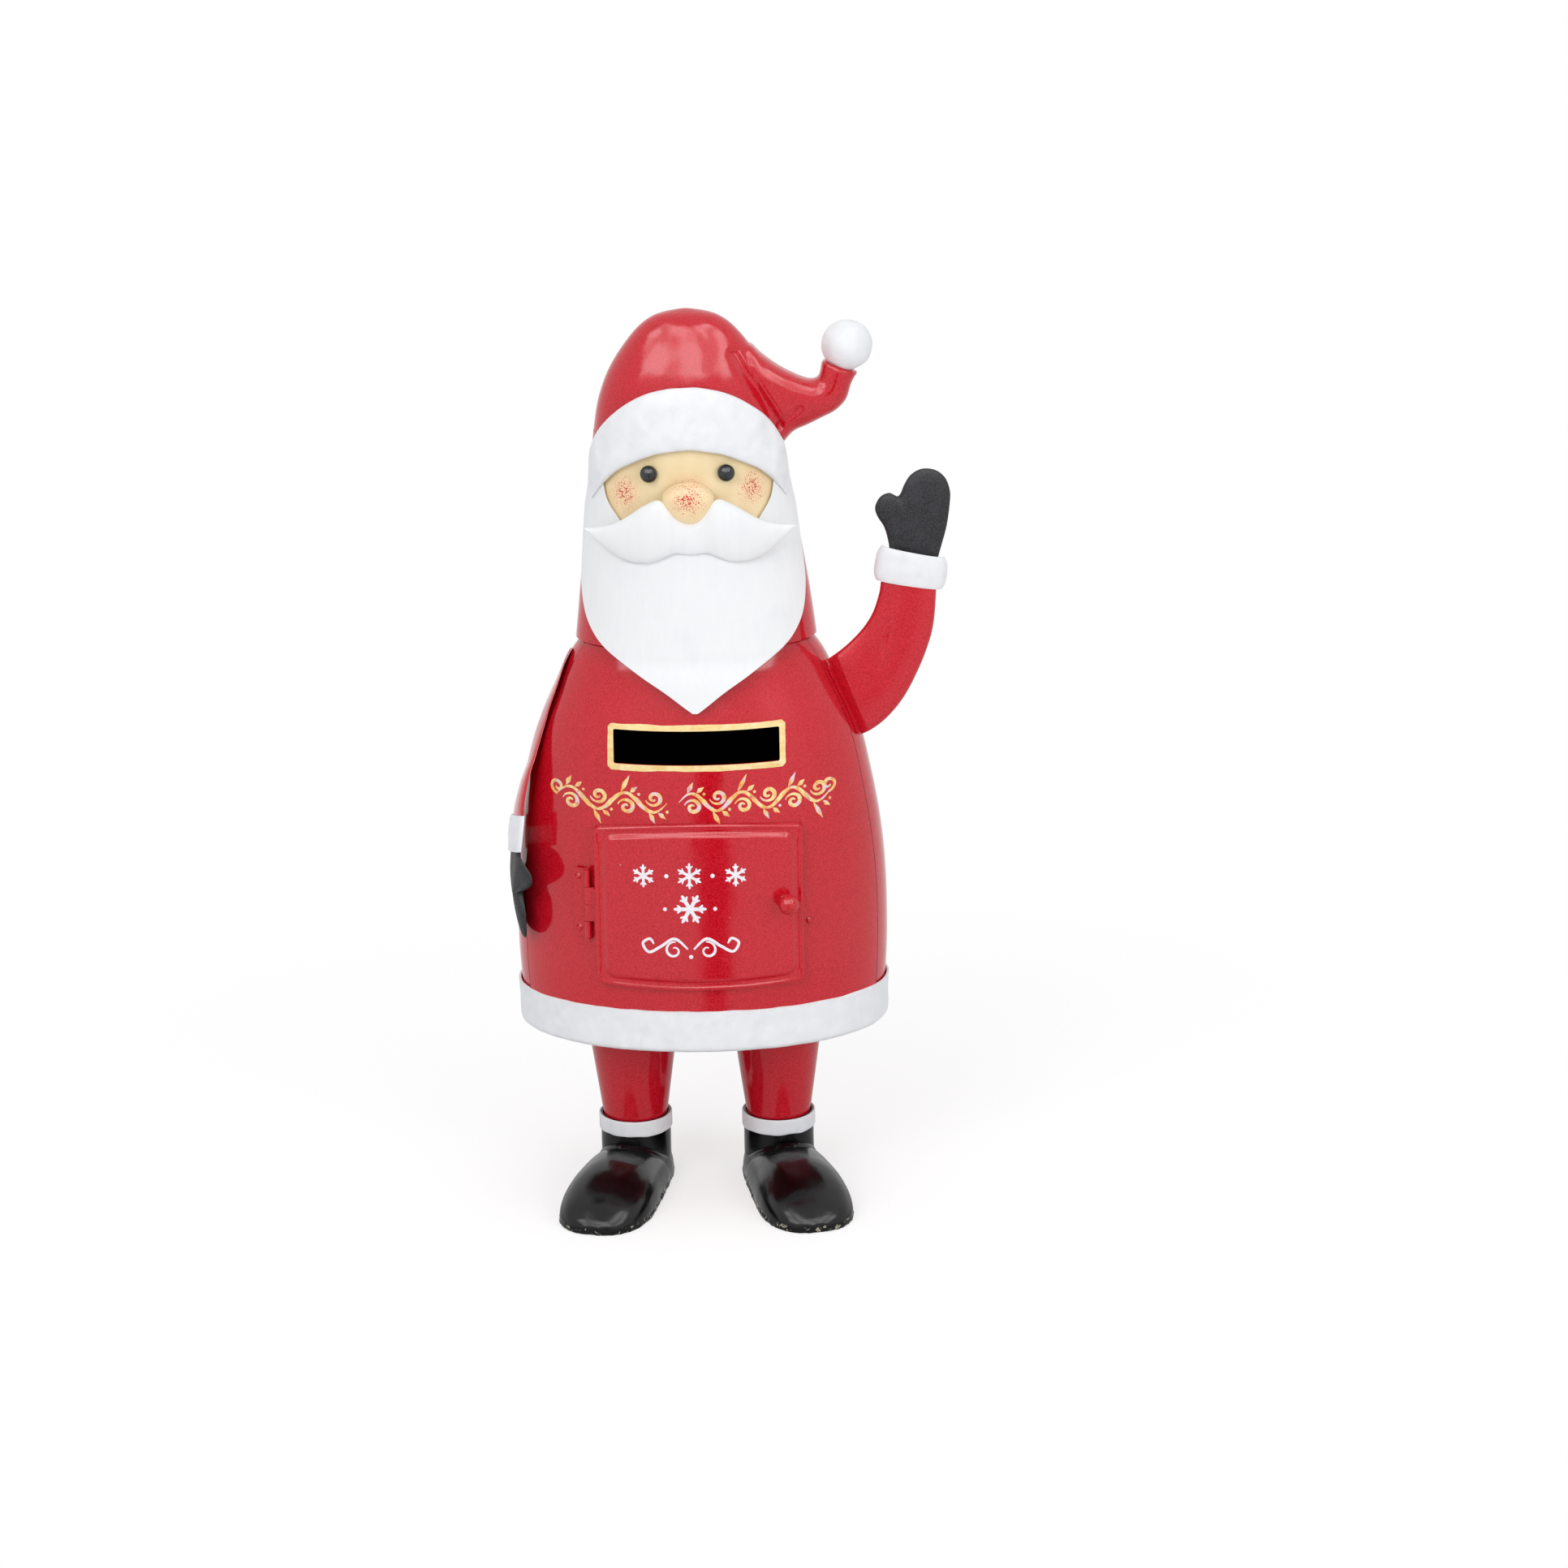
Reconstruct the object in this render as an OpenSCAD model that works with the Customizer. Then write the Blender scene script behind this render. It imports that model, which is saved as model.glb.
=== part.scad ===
// Tin money box in the form of a Father Christmas: a pressed tin body with a letter slot and a
// hinged door, carried on two legs, under a head with a bent hat.
// +X is the viewer's right, +Y is the back and +Z is up. The origin is on the ground,
// under the middle of the figure's box. Inside the modules X and Y are taken from the body's axis.

/* [Sheet] */
// Thickness of the tin sheet
sheet = 0.8; // [0.5:0.1:1.1]
// Play between two lapped sheets
lap_gap = 0.1; // [0.05:0.05:0.2]
// Play between a piece and the surface that it is set on
seat_gap = 0.3; // [0.1:0.05:0.5]

/* [Body] */
// Width of the body over its widest part
body_w = 190.4; // [184:0.2:200]
// Depth of the body and head as a share of their width
roundness = 0.645; // [0.62:0.005:0.68]
// Height of the body's lower edge above the ground
skirt_z = 92; // [84:1:100]
// Height of the body from its lower edge to the head
body_h = 198; // [190:1:206]
// Angle of the side seams in front of the body's sides
seam_angle = 21; // [15:6:27]
// Width of the lap under the side seams, in degrees
lap_angle = 6; // [6:6:12]

/* [Hem band] */
// Height of the white band above the body's lower edge
hem_up = 20; // [15:1:26]
// Depth of the curled edge below the body's lower edge
hem_down = 3.5; // [2:0.5:5]
// Inward curl of the lower edge
hem_curl = 7.5; // [4:0.5:8]

/* [Letter slot] */
// Width of the slot
slot_w = 82.5; // [60:0.5:90]
// Height of the slot
slot_h = 16.5; // [10:0.5:20]
// Height of the slot's middle above the body's lower edge
slot_up = 155; // [150:0.5:158]

/* [Door] */
// Width of the door
door_w = 104; // [90:0.5:108]
// Height of the door at its corners
door_h = 80; // [66:0.5:86]
// Height of the door's middle above the body's lower edge
door_up = 75; // [70:0.5:78]
// Rise of the bowed top and bottom edges
door_bow = 2.8; // [0:0.1:4]
// Distance of the door's face from the body along its middle line
door_proud = 2.6; // [2.2:0.1:4]
// Further distance of the door's face from the body at its sides
door_flat = 2.6; // [1:0.1:4]
// Width of the door's border around its raised middle
door_border = 5; // [3:0.5:9]
// Height of the raised middle above the border
door_relief = 1.2; // [0.6:0.1:2]
// Overlap of the door around its opening
door_lap = 6; // [4:0.5:9]
// Play between the door's turned edge and the body
door_gap = 0.5; // [0.4:0.1:1]

/* [Hinge] */
// Length of the hinge
hinge_h = 36; // [28:1:44]
// Outer diameter of the hinge barrel
barrel_d = 3.4; // [3:0.1:4]
// Diameter of the hinge pin
pin_d = 1.8; // [1.4:0.1:2]
// Radial play between the knuckles and the pin
pin_play = 0.06; // [0.03:0.01:0.09]
// Width of the leaf on the body
leaf_w = 8; // [6:0.5:10]
// Play between neighbouring knuckles
knuckle_gap = 0.25; // [0.15:0.05:0.5]

/* [Door knob] */
// Diameter of the knob's ball
knob_d = 10.2; // [8:0.2:12]
// Diameter of the knob's neck
knob_neck_d = 5; // [4:0.2:6]
// Length of the knob's neck
knob_neck_h = 2.5; // [2:0.1:5]
// Distance of the knob from the door's edge
knob_in = 9; // [6.5:0.5:12]
// Diameter of the screw that holds the knob
screw_d = 2.5; // [2:0.1:3]

/* [Head] */
// Width of the head over its lower rim
head_w = 121.6; // [118:0.2:128]
// Height from the head's lower rim to the top of the hat
head_h = 168; // [160:1:176]
// Length of the body's neck inside the head
neck_h = 12; // [8:1:14]

/* [Face] */
// Distance between the eyes
eye_span = 37; // [30:0.5:44]
// Diameter of an eye
eye_d = 8.6; // [6:0.2:10]
// Width of the nose
nose_w = 26; // [20:0.5:28]
// Height of the nose's relief
nose_depth = 9; // [6:0.5:12]
// Height of the moustache's relief
moustache_depth = 6; // [4:0.5:8]
// Height of the brim's relief
brim_depth = 4; // [3:0.5:6]

/* [Hat tail] */
// Diameter of the pompom
pompom_d = 25.4; // [22:0.2:28]

/* [Arms] */
// Height of the raised arm's relief
sleeve_depth = 5; // [4:0.5:7]
// Height of a cuff's relief
cuff_depth = 7; // [6.5:0.5:9]
// Height of the lowered sleeve's relief at the wrist
low_sleeve_depth = 2.6; // [2:0.2:4]
// Height of the lowered cuff's relief
low_cuff_depth = 4.4; // [3:0.2:7]
// Height of the lowered mitten's relief
low_mitten_depth = 4; // [2:0.2:5]
// Height of the raised mitten's relief
mitten_depth = 4; // [3:0.5:5]
// Distance of the arms in front of the body's axis
arm_front = 8; // [4:1:12]
// Angle by which the lowered arm swings to the front
arm_swing = 14; // [10:1:20]

/* [Legs] */
// Distance between the middles of the legs
leg_span = 74.8; // [68:0.2:80]
// Diameter of a leg at its upper end
leg_top_d = 50; // [44:0.5:54]
// Diameter of a leg at its lower end
leg_foot_d = 24; // [20:0.5:28]

/* [Boots] */
// Diameter of a boot's shaft
shaft_d = 36.4; // [36:0.2:40]
// Height of the boot's rim above the ground
shaft_z = 36; // [32:0.5:40]
// Height of the white band on the rim
boot_band_h = 6.5; // [5:0.5:9]
// Length of the sole in front of the leg's axis
toe_reach = 85; // [80:1:92]
// Length of the sole behind the leg's axis
heel_reach = 20.5; // [20:0.5:24]
// Angle by which the toes turn out
toe_out = 14; // [6:1:18]
// Thickness of the sole plate
sole_t = 1.2; // [1:0.1:2]

/* [Hidden] */

$fn = 48;
red = "#c4202c";
white = "#f2f2f0";
black = "#26272b";
skin = "#f3d9a8";
steel = "#b9bcc0";

// Middle of the figure's box, measured from the body's axis
box_middle = [15.3, -11.4, 0];
// Angle between two neighbouring edges of a rounded shell
facet = 6;
// Overshoot of a cutting shape past the surface that it cuts
past = 1;
// Lap of one sheet over another, from face to face
lap = sheet + lap_gap;

// Half-width against height of the body, as shares of its half-width and height
body_shape = [[0.982, 0], [0.989, 0.101], [0.999, 0.217], [0.996, 0.369], [0.972, 0.505],
    [0.919, 0.652], [0.854, 0.783], [0.734, 0.909], [0.677, 0.965], [0.606, 1]];
// Half-width against height of the head, as shares of its half-width and height
head_shape = [[1, 0.018], [0.988, 0.054], [0.949, 0.167], [0.896, 0.304], [0.844, 0.429], [0.795, 0.548],
    [0.772, 0.643], [0.72, 0.744], [0.612, 0.839], [0.42, 0.935], [0.245, 0.982], [0.02, 1]];

head_z = skirt_z + body_h;

// ---------------------------------------------------------------- helpers

function lerp(a, b, t) = a + (b - a) * t;
function unit(v) = v / norm(v);
function knot(p, i, closed) = closed ? p[(i + len(p)) % len(p)] : p[max(0, min(len(p) - 1, i))];
function bend(a, b, c, d, t) =
    b + (c - a) * t / 2 + (2 * a - 5 * b + 4 * c - d) * t * t / 2 + (3 * (b - c) + d - a) * t * t * t / 2;
// Smooth line through the points p, with the given number of steps between two of them
function curve(p, steps, closed = false) = concat(
    [for (i = [0 : len(p) - (closed ? 1 : 2)], s = [0 : steps - 1])
        bend(knot(p, i - 1, closed), knot(p, i, closed), knot(p, i + 1, closed), knot(p, i + 2, closed),
            s / steps)],
    closed ? [] : [p[len(p) - 1]]);
function mirrored(p) = [for (i = [len(p) - 1 : -1 : 0]) [-p[i][0], p[i][1]]];

// Two triangles of the quad a, b, c, d
function quad(a, b, c, d) = [[a, b, c], [a, c, d]];
// Flat end over a ring of n points that starts at point k, folded across the ring
function fold(k, n) = [for (i = [0 : ceil(n / 2) - 2])
    let (a = k + i, b = a + 1, c = k + n - 2 - i, d = c + 1)
    each (2 * i + 3 == n ? [[a, b, d]] : i < n / 4 ? quad(b, c, d, a) : quad(a, b, c, d))];
function reversed(faces) = [for (f = faces) [f[2], f[1], f[0]]];
// Solid through a list of rings that have the same number of points. Seen from the first ring's
// outer side, each ring runs clockwise
module loft(rings, loop = false)
{
    n = len(rings[0]);
    m = len(rings);
    sides = [for (j = [0 : m - (loop ? 1 : 2)], i = [0 : n - 1])
        let (next = ((j + 1) % m) * n)
        each quad(next + i, next + (i + 1) % n, j * n + (i + 1) % n, j * n + i)];
    ends = loop ? [] : concat(fold(0, n), reversed(fold((m - 1) * n, n)));
    polyhedron(points = [for (r = rings) each r], faces = concat(sides, ends), convexity = 6);
}

module in_frame() translate(-box_middle) children();

// ---------------------------------------------------------------- body and head surfaces

head_line = [for (p = curve(head_shape, 2)) [p[0] * head_w / 2, head_z + p[1] * head_h]];
head_radii = [for (p = head_line) [p[1], p[0]]];
function head_r(z) = lookup(z, head_radii);

// The neck stays two laps inside the head, also where the oval is narrow
neck_line = [for (t = [0.3, 0.6, 1]) let (z = head_z + t * neck_h)
    [head_r(z) - (2 * lap + 2 * lap_gap) / roundness, z]];
body_line = concat(
    [for (p = curve(body_shape, 2)) [p[0] * body_w / 2, skirt_z + p[1] * body_h]],
    neck_line);
body_radii = [for (p = body_line) [p[1], p[0]]];
function body_r(z) = lookup(z, body_radii);

// Point of an oval of half-width r at height z, moved outwards by proud
function oval(r, z, angle, proud) = [(r + proud) * cos(angle), (r * roundness + proud) * sin(angle), z];
// Depth in front of the axis of the oval of half-width r, at the place x
function oval_y(r, x, proud) = -(r * roundness + proud) * sqrt(max(0, 1 - pow(x / (r + proud), 2)));
function oval_out(r, x, y) = unit([x / pow(r, 2), y / pow(r * roundness, 2), 0]);
function panel_y(x, z, proud) = oval_y(body_r(z), x, lap + proud);
function head_y(x, z, proud) = oval_y(head_r(z), x, proud);

// Angles all round, at the same places as those of the panels
round_angles = [for (i = [0 : 360 / facet - 1]) seam_angle + i * facet];
// Angles from a0 to a1 in equal steps of about one facet
function steps_between(a0, a1) = let (n = round((a1 - a0) / facet)) [for (i = [0 : n]) lerp(a0, a1, i / n)];
// Closed section of a sheet that follows the oval from angle a0 to a1
function strip(r, z, a0, a1, proud, t = sheet) = concat(
    [for (a = steps_between(a0, a1)) oval(r, z, a, proud)],
    [for (a = steps_between(-a1, -a0)) oval(r, z, -a, proud - t)]);

// Closed section of an arched sheet between the edge points a and b
arch_steps = 10;
function arch(a, b, out, depth, t = sheet) = concat(
    [for (i = [0 : arch_steps]) let (u = 180 * i / arch_steps)
        lerp(a, b, (1 - cos(u)) / 2) + out * depth * sin(u)],
    [for (i = [arch_steps : -1 : 0]) let (u = 180 * i / arch_steps, in = t * unit(b - a))
        lerp(a + in, b - in, (1 - cos(u)) / 2) + out * (depth - t) * sin(u)]);

// Rings of a hollow relief over a closed outline around a middle point
dome_steps = [1, 0.93, 0.8, 0.6, 0.35, 0.1];
function dome_ring(outline, middle, out, s, depth) =
    [for (p = outline) lerp(middle, p, s) + out * depth * sqrt(1 - s * s)];
function dome(outline, middle, out, depth, t = sheet) = concat(
    [for (i = [len(dome_steps) - 1 : -1 : 0])
        dome_ring([for (p = outline) p + t * unit(middle - p)], middle, out, dome_steps[i], depth - t)],
    [for (s = dome_steps) dome_ring(outline, middle, out, s, depth)]);

// Flat relief in the plane of X and Z
function in_plane(p, y) = [p[0], y, p[1]];

// ---------------------------------------------------------------- body

function slot_z() = skirt_z + slot_up;
function door_z() = skirt_z + door_up;

module front_panel() color(red) in_frame()
difference()
{
    loft([for (p = body_line) strip(p[0], p[1], 180 + seam_angle, 360 - seam_angle, lap)]);
    translate([-slot_w / 2, -body_w / 2, slot_z() - slot_h / 2])
        cube([slot_w, body_w / 2, slot_h]);
    translate([-door_w / 2 + door_lap, -body_w / 2, door_z() - door_h / 2 + door_lap])
        cube([door_w - 2 * door_lap, body_w / 2, door_h - 2 * door_lap]);
    hinge_place() hinge_rivet_holes();
    at_catch_rivet() translate([0, 0, -sheet - past]) cylinder(d = rivet_d, h = sheet + 2 * past);
}

module back_panel() color(red) in_frame()
loft([for (p = body_line)
    strip(p[0], p[1], -seam_angle - lap_angle, 180 + seam_angle + lap_angle, 0)]);

// The band lies over the lapped panels, and its lower edge curls inwards
hem_steps = [[0, hem_up], [0, hem_up / 2], [0, 2], [0, 0], [-0.35, -0.5], [-1, -1]];
module hem_band() color(white) in_frame()
loft([for (a = round_angles) hem_section(a)], loop = true);

function hem_point(angle, step, inset) =
    let (up = step[1] >= 0 ? step[1] : step[1] * hem_down, z = skirt_z + up, rise = step[0] < 0 ? 0.7 : 0)
    oval(body_r(max(z, skirt_z)), z + inset * rise, angle, 2 * lap + hem_curl * step[0] - inset);
function hem_section(angle) = concat(
    [for (s = hem_steps) hem_point(angle, s, 0)],
    [for (i = [len(hem_steps) - 1 : -1 : 0]) hem_point(angle, hem_steps[i], sheet)]);

// The floor of the box, with an edge turned down against the inside of the panels
base_edge_h = 5;
base_z = skirt_z + base_edge_h;
module base_plate() color(red) in_frame()
difference()
{
    loft([for (z = [skirt_z, base_z]) [for (a = round_angles) oval(body_r(z), z, a, -sheet - lap_gap)]]);
    loft([for (z = [skirt_z - past, base_z - sheet])
        [for (a = round_angles) oval(body_r(z), z, a, -2 * sheet - lap_gap)]]);
}

// ---------------------------------------------------------------- head and hat

hat_share = 0.643;
hat_z = head_z + hat_share * head_h;
head_u = head_w / 2;
// Play between the front and the back shell along their seam, in degrees
seam_play = 0.15;
top_r = 1.2;

function share_on_head(p) = [p[0] * head_u, 0, head_z + p[1] * head_h];

// Upper edge, lower edge and half-depth of the hat's tail, as shares of the head
tail_stations = [[[0.36, 0.91], [0.72, 0.57], 15], [[0.508, 0.897], [0.801, 0.604], 14.5],
    [[0.61, 0.861], [0.874, 0.631], 13.5], [[0.738, 0.823], [0.987, 0.649], 12.5],
    [[0.874, 0.795], [1.1, 0.67], 11.5], [[0.971, 0.783], [1.197, 0.69], 10.5],
    [[1.037, 0.789], [1.27, 0.723], 10], [[1.063, 0.82], [1.311, 0.77], 9.5],
    [[1.067, 0.842], [1.362, 0.802], 9]];
disc_t = 0.4;
module tail_disc(station, inset)
{
    a = share_on_head(station[0]);
    b = share_on_head(station[1]);
    along = unit(b - a);
    translate((a + b) / 2) rotate([0, -atan2(along[2], along[0]), 0])
        resize([norm(b - a) - 2 * inset, 2 * (station[2] - inset), disc_t])
            cylinder(d = 1, h = 1, center = true, $fn = 28);
}
// The tail as a chain of flat ovals; its hollow runs on past its mouth
module tail_form(inset)
{
    for (i = [0 : len(tail_stations) - 2])
        hull() { tail_disc(tail_stations[i], inset); tail_disc(tail_stations[i + 1], inset); }
    if (inset > 0) hull() { tail_disc(tail_last, inset); translate(tail_way) tail_disc(tail_last, inset); }
}

// The dome of the hat: an inset form is lower by the inset at its top
module head_form(inset)
loft([for (p = head_line) let (drop = inset * (p[1] - hat_z) / (head_z + head_h - hat_z))
    [for (a = [0 : facet : 360 - facet]) oval(max(p[0], top_r + inset), p[1] - drop, a, -inset)]]);

module hat_shell(front)
difference()
{
    union() { head_form(0); tail_form(0); }
    union() { head_form(sheet); tail_form(sheet); }
    translate([-body_w, front ? -lap_gap / 2 : lap_gap / 2 - body_w, 0])
        cube([2 * body_w, body_w, 2 * head_z]);
    translate([-body_w / 2, -body_w / 2, head_z - past])
        cube([body_w, body_w, hat_z - head_z + past]);
}

module hat_front() color(red) in_frame() hat_shell(true);

module hat_back() color(red) in_frame() hat_shell(false);

module head_back() color(red) in_frame()
loft([for (p = head_line) if (p[1] < hat_z + past) strip(p[0], p[1], seam_play, 180 - seam_play, 0)]);

module head_front() color(red) in_frame()
loft([for (p = head_line) if (p[1] < hat_z + past) strip(p[0], p[1], 180 + seam_play, 360 - seam_play, 0)]);

tail_last = tail_stations[len(tail_stations) - 1];
tail_end = [share_on_head(tail_last[0]), share_on_head(tail_last[1])];
tail_mouth = norm(tail_end[1] - tail_end[0]) / 2;
tail_way = let (along = unit(tail_end[1] - tail_end[0])) [-along[2], 0, along[0]];
pompom_rise = sqrt(pow(pompom_d / 2, 2) - pow(tail_last[2] - sheet, 2)) + 2 * seat_gap + disc_t;
module pompom() color(white) in_frame()
translate((tail_end[0] + tail_end[1]) / 2 + tail_way * pompom_rise) sphere(d = pompom_d);

// Upper and lower edge of the brim from its middle to its end, as shares of the head
brim_upper = [[0, 0.793], [0.22, 0.785], [0.42, 0.756], [0.59, 0.711], [0.7, 0.662], [0.765, 0.611],
    [0.8, 0.551], [0.82, 0.486]];
brim_lower = [[0, 0.614], [0.22, 0.604], [0.345, 0.59], [0.465, 0.569], [0.58, 0.545], [0.67, 0.515],
    [0.74, 0.485], [0.795, 0.455]];
function on_head(p, proud) =
    let (z = head_z + p[1] * head_h, x = p[0] * head_u)
    [x, head_y(x, z, proud), z];
// A line from its mirrored end over its middle to its end
function both_ways(p) = concat(mirrored(p), [for (i = [1 : len(p) - 1]) p[i]]);
module hat_brim() color(white) in_frame()
{
    upper = both_ways(brim_upper);
    lower = both_ways(brim_lower);
    seat = 2 * seat_gap + 2 * sheet;
    loft([for (i = [0 : len(upper) - 1])
        let (stand = lookup(upper[i][1], [[0.56, seat + seat_gap], [0.68, seat_gap + sheet]]),
            a = on_head(upper[i], stand),
            b = on_head(lower[i], seat + seat_gap),
            m = (a + b) / 2,
            end = min(i, len(upper) - 1 - i))
        arch(a, b, oval_out(head_r(m[2]), m[0], m[1]), end == 0 ? 2 * sheet : brim_depth)]);
}

// ---------------------------------------------------------------- face

eye_place = [eye_span / 2, head_z + 0.543 * head_h];
module eye(side) color(black) in_frame()
{
    x = side * eye_place[0];
    y = head_y(x, eye_place[1], 0);
    out = oval_out(head_r(eye_place[1]), x, y);
    translate([x, y, eye_place[1]]) rotate([90, 0, atan2(out[0], -out[1])])
        intersection()
        {
            translate([0, 0, eye_d / 5]) sphere(d = eye_d);
            translate([0, 0, 2 * seat_gap]) cylinder(d = 2 * eye_d, h = eye_d);
        }
}
module left_eye() eye(-1);
module right_eye() eye(1);

// Outline of the nose around its middle, as shares of its width
nose_shape = [[0.5, 0.17], [0.3, 0.38], [0, 0.45], [-0.3, 0.38], [-0.5, 0.17], [-0.4, -0.1],
    [-0.22, -0.33], [0, -0.42], [0.22, -0.33], [0.4, -0.1]];
nose_z = head_z + 0.452 * head_h;
module nose() color(skin) in_frame()
{
    y = head_y(0, nose_z - nose_w / 2, seat_gap);
    outline = [for (p = curve(nose_shape, 2, closed = true)) [p[0] * nose_w, y, nose_z + p[1] * nose_w]];
    loft(dome(outline, [0, y, nose_z], [0, -1, 0], nose_depth));
}

// Upper and lower edge of the moustache from its middle to its tip, as shares of the head
moustache_upper = [[0, 0.372], [0.09, 0.388], [0.225, 0.465], [0.36, 0.459], [0.5, 0.426], [0.62, 0.398],
    [0.75, 0.384], [0.86, 0.38]];
moustache_lower = [[0, 0.31], [0.13, 0.314], [0.22, 0.301], [0.33, 0.286], [0.47, 0.286], [0.6, 0.303],
    [0.74, 0.338], [0.85, 0.375]];
moustache_sweep = 12;
function moustache_y(x) = head_y(0, head_z + 0.3 * head_h, beard_stand(0.3) + seat_gap)
    + moustache_sweep * pow(x / (0.85 * head_u), 2);
module moustache() color(white) in_frame()
{
    upper = both_ways(moustache_upper);
    lower = both_ways(moustache_lower);
    loft([for (i = [0 : len(upper) - 1])
        let (x0 = upper[i][0] * head_u,
            x1 = lower[i][0] * head_u,
            a = [x0, moustache_y(x0), head_z + upper[i][1] * head_h],
            b = [x1, moustache_y(x1), head_z + lower[i][1] * head_h],
            share = min(1, norm(b - a) / (0.17 * head_h)))
        arch(a, b, [0, -1, 0], max(2 * sheet, moustache_depth * share))]);
}

// Distance of the beard's outer face from the head, and below the rim from the chest, against height
beard_stands = [[-0.17, 4.8], [-0.09, 6.2], [0, 6.5], [0.06, 5.6], [0.167, 4.4], [0.3, 3], [0.45, 1.8],
    [0.55, 1.2], [0.65, 1.2]];
function beard_stand(t) = lookup(t, beard_stands) + seat_gap;
// Half-width of the beard against height, as shares of the head
beard_shape = [[0.02, -0.15], [0.094, -0.131], [0.256, -0.088], [0.49, -0.036], [0.7, 0.015],
    [0.82, 0.06],
    [0.895, 0.119], [0.92, 0.202], [0.9, 0.304], [0.862, 0.435], [0.822, 0.55], [0.8, 0.61]];
beard_columns = 14;
function beard_section(p) =
    let (z = head_z + p[1] * head_h,
        r = z < head_z ? body_r(z) + lap : head_r(z),
        s = beard_stand(p[1]),
        half = min(p[0] * head_u, r + s - sheet - seat_gap))
    concat(
        [for (i = [-beard_columns : 2 : beard_columns])
            let (x = half * sin(90 * i / beard_columns)) [x, oval_y(r, x, s), z]],
        [for (i = [beard_columns : -2 : -beard_columns])
            let (x = (half - sheet / 8) * sin(90 * i / beard_columns)) [x, oval_y(r, x, s - sheet), z]]);
// Opening of the beard around the face, as shares of the head
face_opening = [[0.3, 0.365], [0.5, 0.38], [0.6, 0.42], [0.665, 0.458], [0.69, 0.5], [0.7, 0.56],
    [0.7, 0.65]];
module beard() color(white) in_frame()
difference()
{
    loft([for (p = curve(beard_shape, 2)) beard_section(p)]);
    rotate([90, 0, 0]) linear_extrude(head_w)
        polygon([for (p = concat(curve(face_opening, 2), mirrored(curve(face_opening, 2))))
            [p[0] * head_u, head_z + p[1] * head_h]]);
}

// ---------------------------------------------------------------- arms

shoulder_z = skirt_z + 0.85 * body_h;
shoulder_x = body_r(shoulder_z);
// Inner and outer edge of the raised sleeve, measured from the shoulder
raised_inner = [[-9.3, 19.8], [-2.9, 24.4], [3, 29.6], [8.9, 36.2], [13.4, 43.6], [16.4, 52.5], [17.4, 58],
    [18.1, 64]];
raised_outer = [[6.9, -19.8], [12.8, -16.8], [20.2, -10.9], [27.6, -2], [33.6, 8.5], [40, 23.5], [43.9, 38],
    [45.6, 60]];
function at_shoulder(p) = [shoulder_x + p[0], -arm_front, shoulder_z + p[1]];
tab_half_angle = 9;
tab_drop = 18;
tab_rise = 16;
tab_step = (tab_drop + tab_rise) / 8;

module side_tab()
loft([for (z = [shoulder_z - tab_drop : tab_step : shoulder_z + tab_rise])
    strip(body_r(z), z, -tab_half_angle - facet, tab_half_angle - facet, seat_gap + sheet)]);

// A point moved along X onto the seat on the body's side
function on_side(p) =
    let (r = body_r(p[2]) + seat_gap, b = body_r(p[2]) * roundness + seat_gap)
    [r * sqrt(1 - pow(p[1] / b, 2)), p[1], p[2]];

module raised_sleeve() color(red) in_frame()
{
    inner = curve(raised_inner, 2);
    outer = curve(raised_outer, 2);
    rings = [for (i = [0 : len(inner) - 1])
        arch(at_shoulder(inner[i]), at_shoulder(outer[i]), [0, -1, 0], sleeve_depth)];
    loft([for (i = [0 : len(rings) - 1]) i > 0 ? rings[i] : [for (p = rings[i]) on_side(p)]]);
    side_tab();
}

// Stations of a cuff from its lower to its upper edge: place along it and widening
cuff_steps = [[0, 0.2], [0.25, 2.6], [0.5, 3.6], [0.75, 2.8], [1, 0.4]];
function cuff_sections(low_a, low_b, high_a, high_b, out, depth) =
    [for (s = cuff_steps)
        let (a = lerp(low_a, high_a, s[0]),
            b = lerp(low_b, high_b, s[0]),
            wide = (sheet + s[1]) * unit(b - a))
        arch(a - wide, b + wide, out, depth * (0.86 + 0.14 * sin(180 * s[0])))];
raised_cuff_edges = [[17.4, 60.3], [45.6, 55.6], [20.6, 77.6], [47.2, 72]];
module raised_cuff() color(white) in_frame()
loft(cuff_sections(at_shoulder(raised_cuff_edges[0]), at_shoulder(raised_cuff_edges[1]),
    at_shoulder(raised_cuff_edges[2]), at_shoulder(raised_cuff_edges[3]), [0, -1, 0], cuff_depth));

// Outline of the raised mitten around its middle
mitten_middle = [32.5, 92];
mitten_shape = [[-5.9, 10.9], [-10.5, 12.6], [-15.2, 10.6], [-17.8, 5.6], [-16.8, 1], [-13.2, -5],
    [-11.2, -12.5], [-10.7, -17], [13.5, -22.5], [15.8, -14.6], [18.6, -4.2], [20.2, 7.5], [20.2, 13.3],
    [18.2, 19.2], [14.4, 23], [9.4, 24.6], [4.5, 24.1], [0, 21.2], [-2.9, 16.8]];
module raised_mitten() color(black) in_frame()
loft(dome([for (p = mitten_shape) at_shoulder(mitten_middle + p)],
    at_shoulder(mitten_middle), [0, -1, 0], mitten_depth));

// The lowered arm hangs from the body's side and swings to the front on its way down. Its places are
// measured along it from the shoulder, and across it, where positive is towards the front
arm_rise = 20;
arm_fore = 4;
arm_top_z = shoulder_z + arm_rise;
// Free space between the body's side and the arm's middle, against the place along the arm
arm_stands = [[34, 0], [41, 0.4], [49, 1.7], [56, 3.6], [62, 4.9], [72, 6.7], [79, 7.3], [99, 9.7],
    [110, 10.6], [120, 10.9], [136, 12.3], [146, 14.2]];
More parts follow.
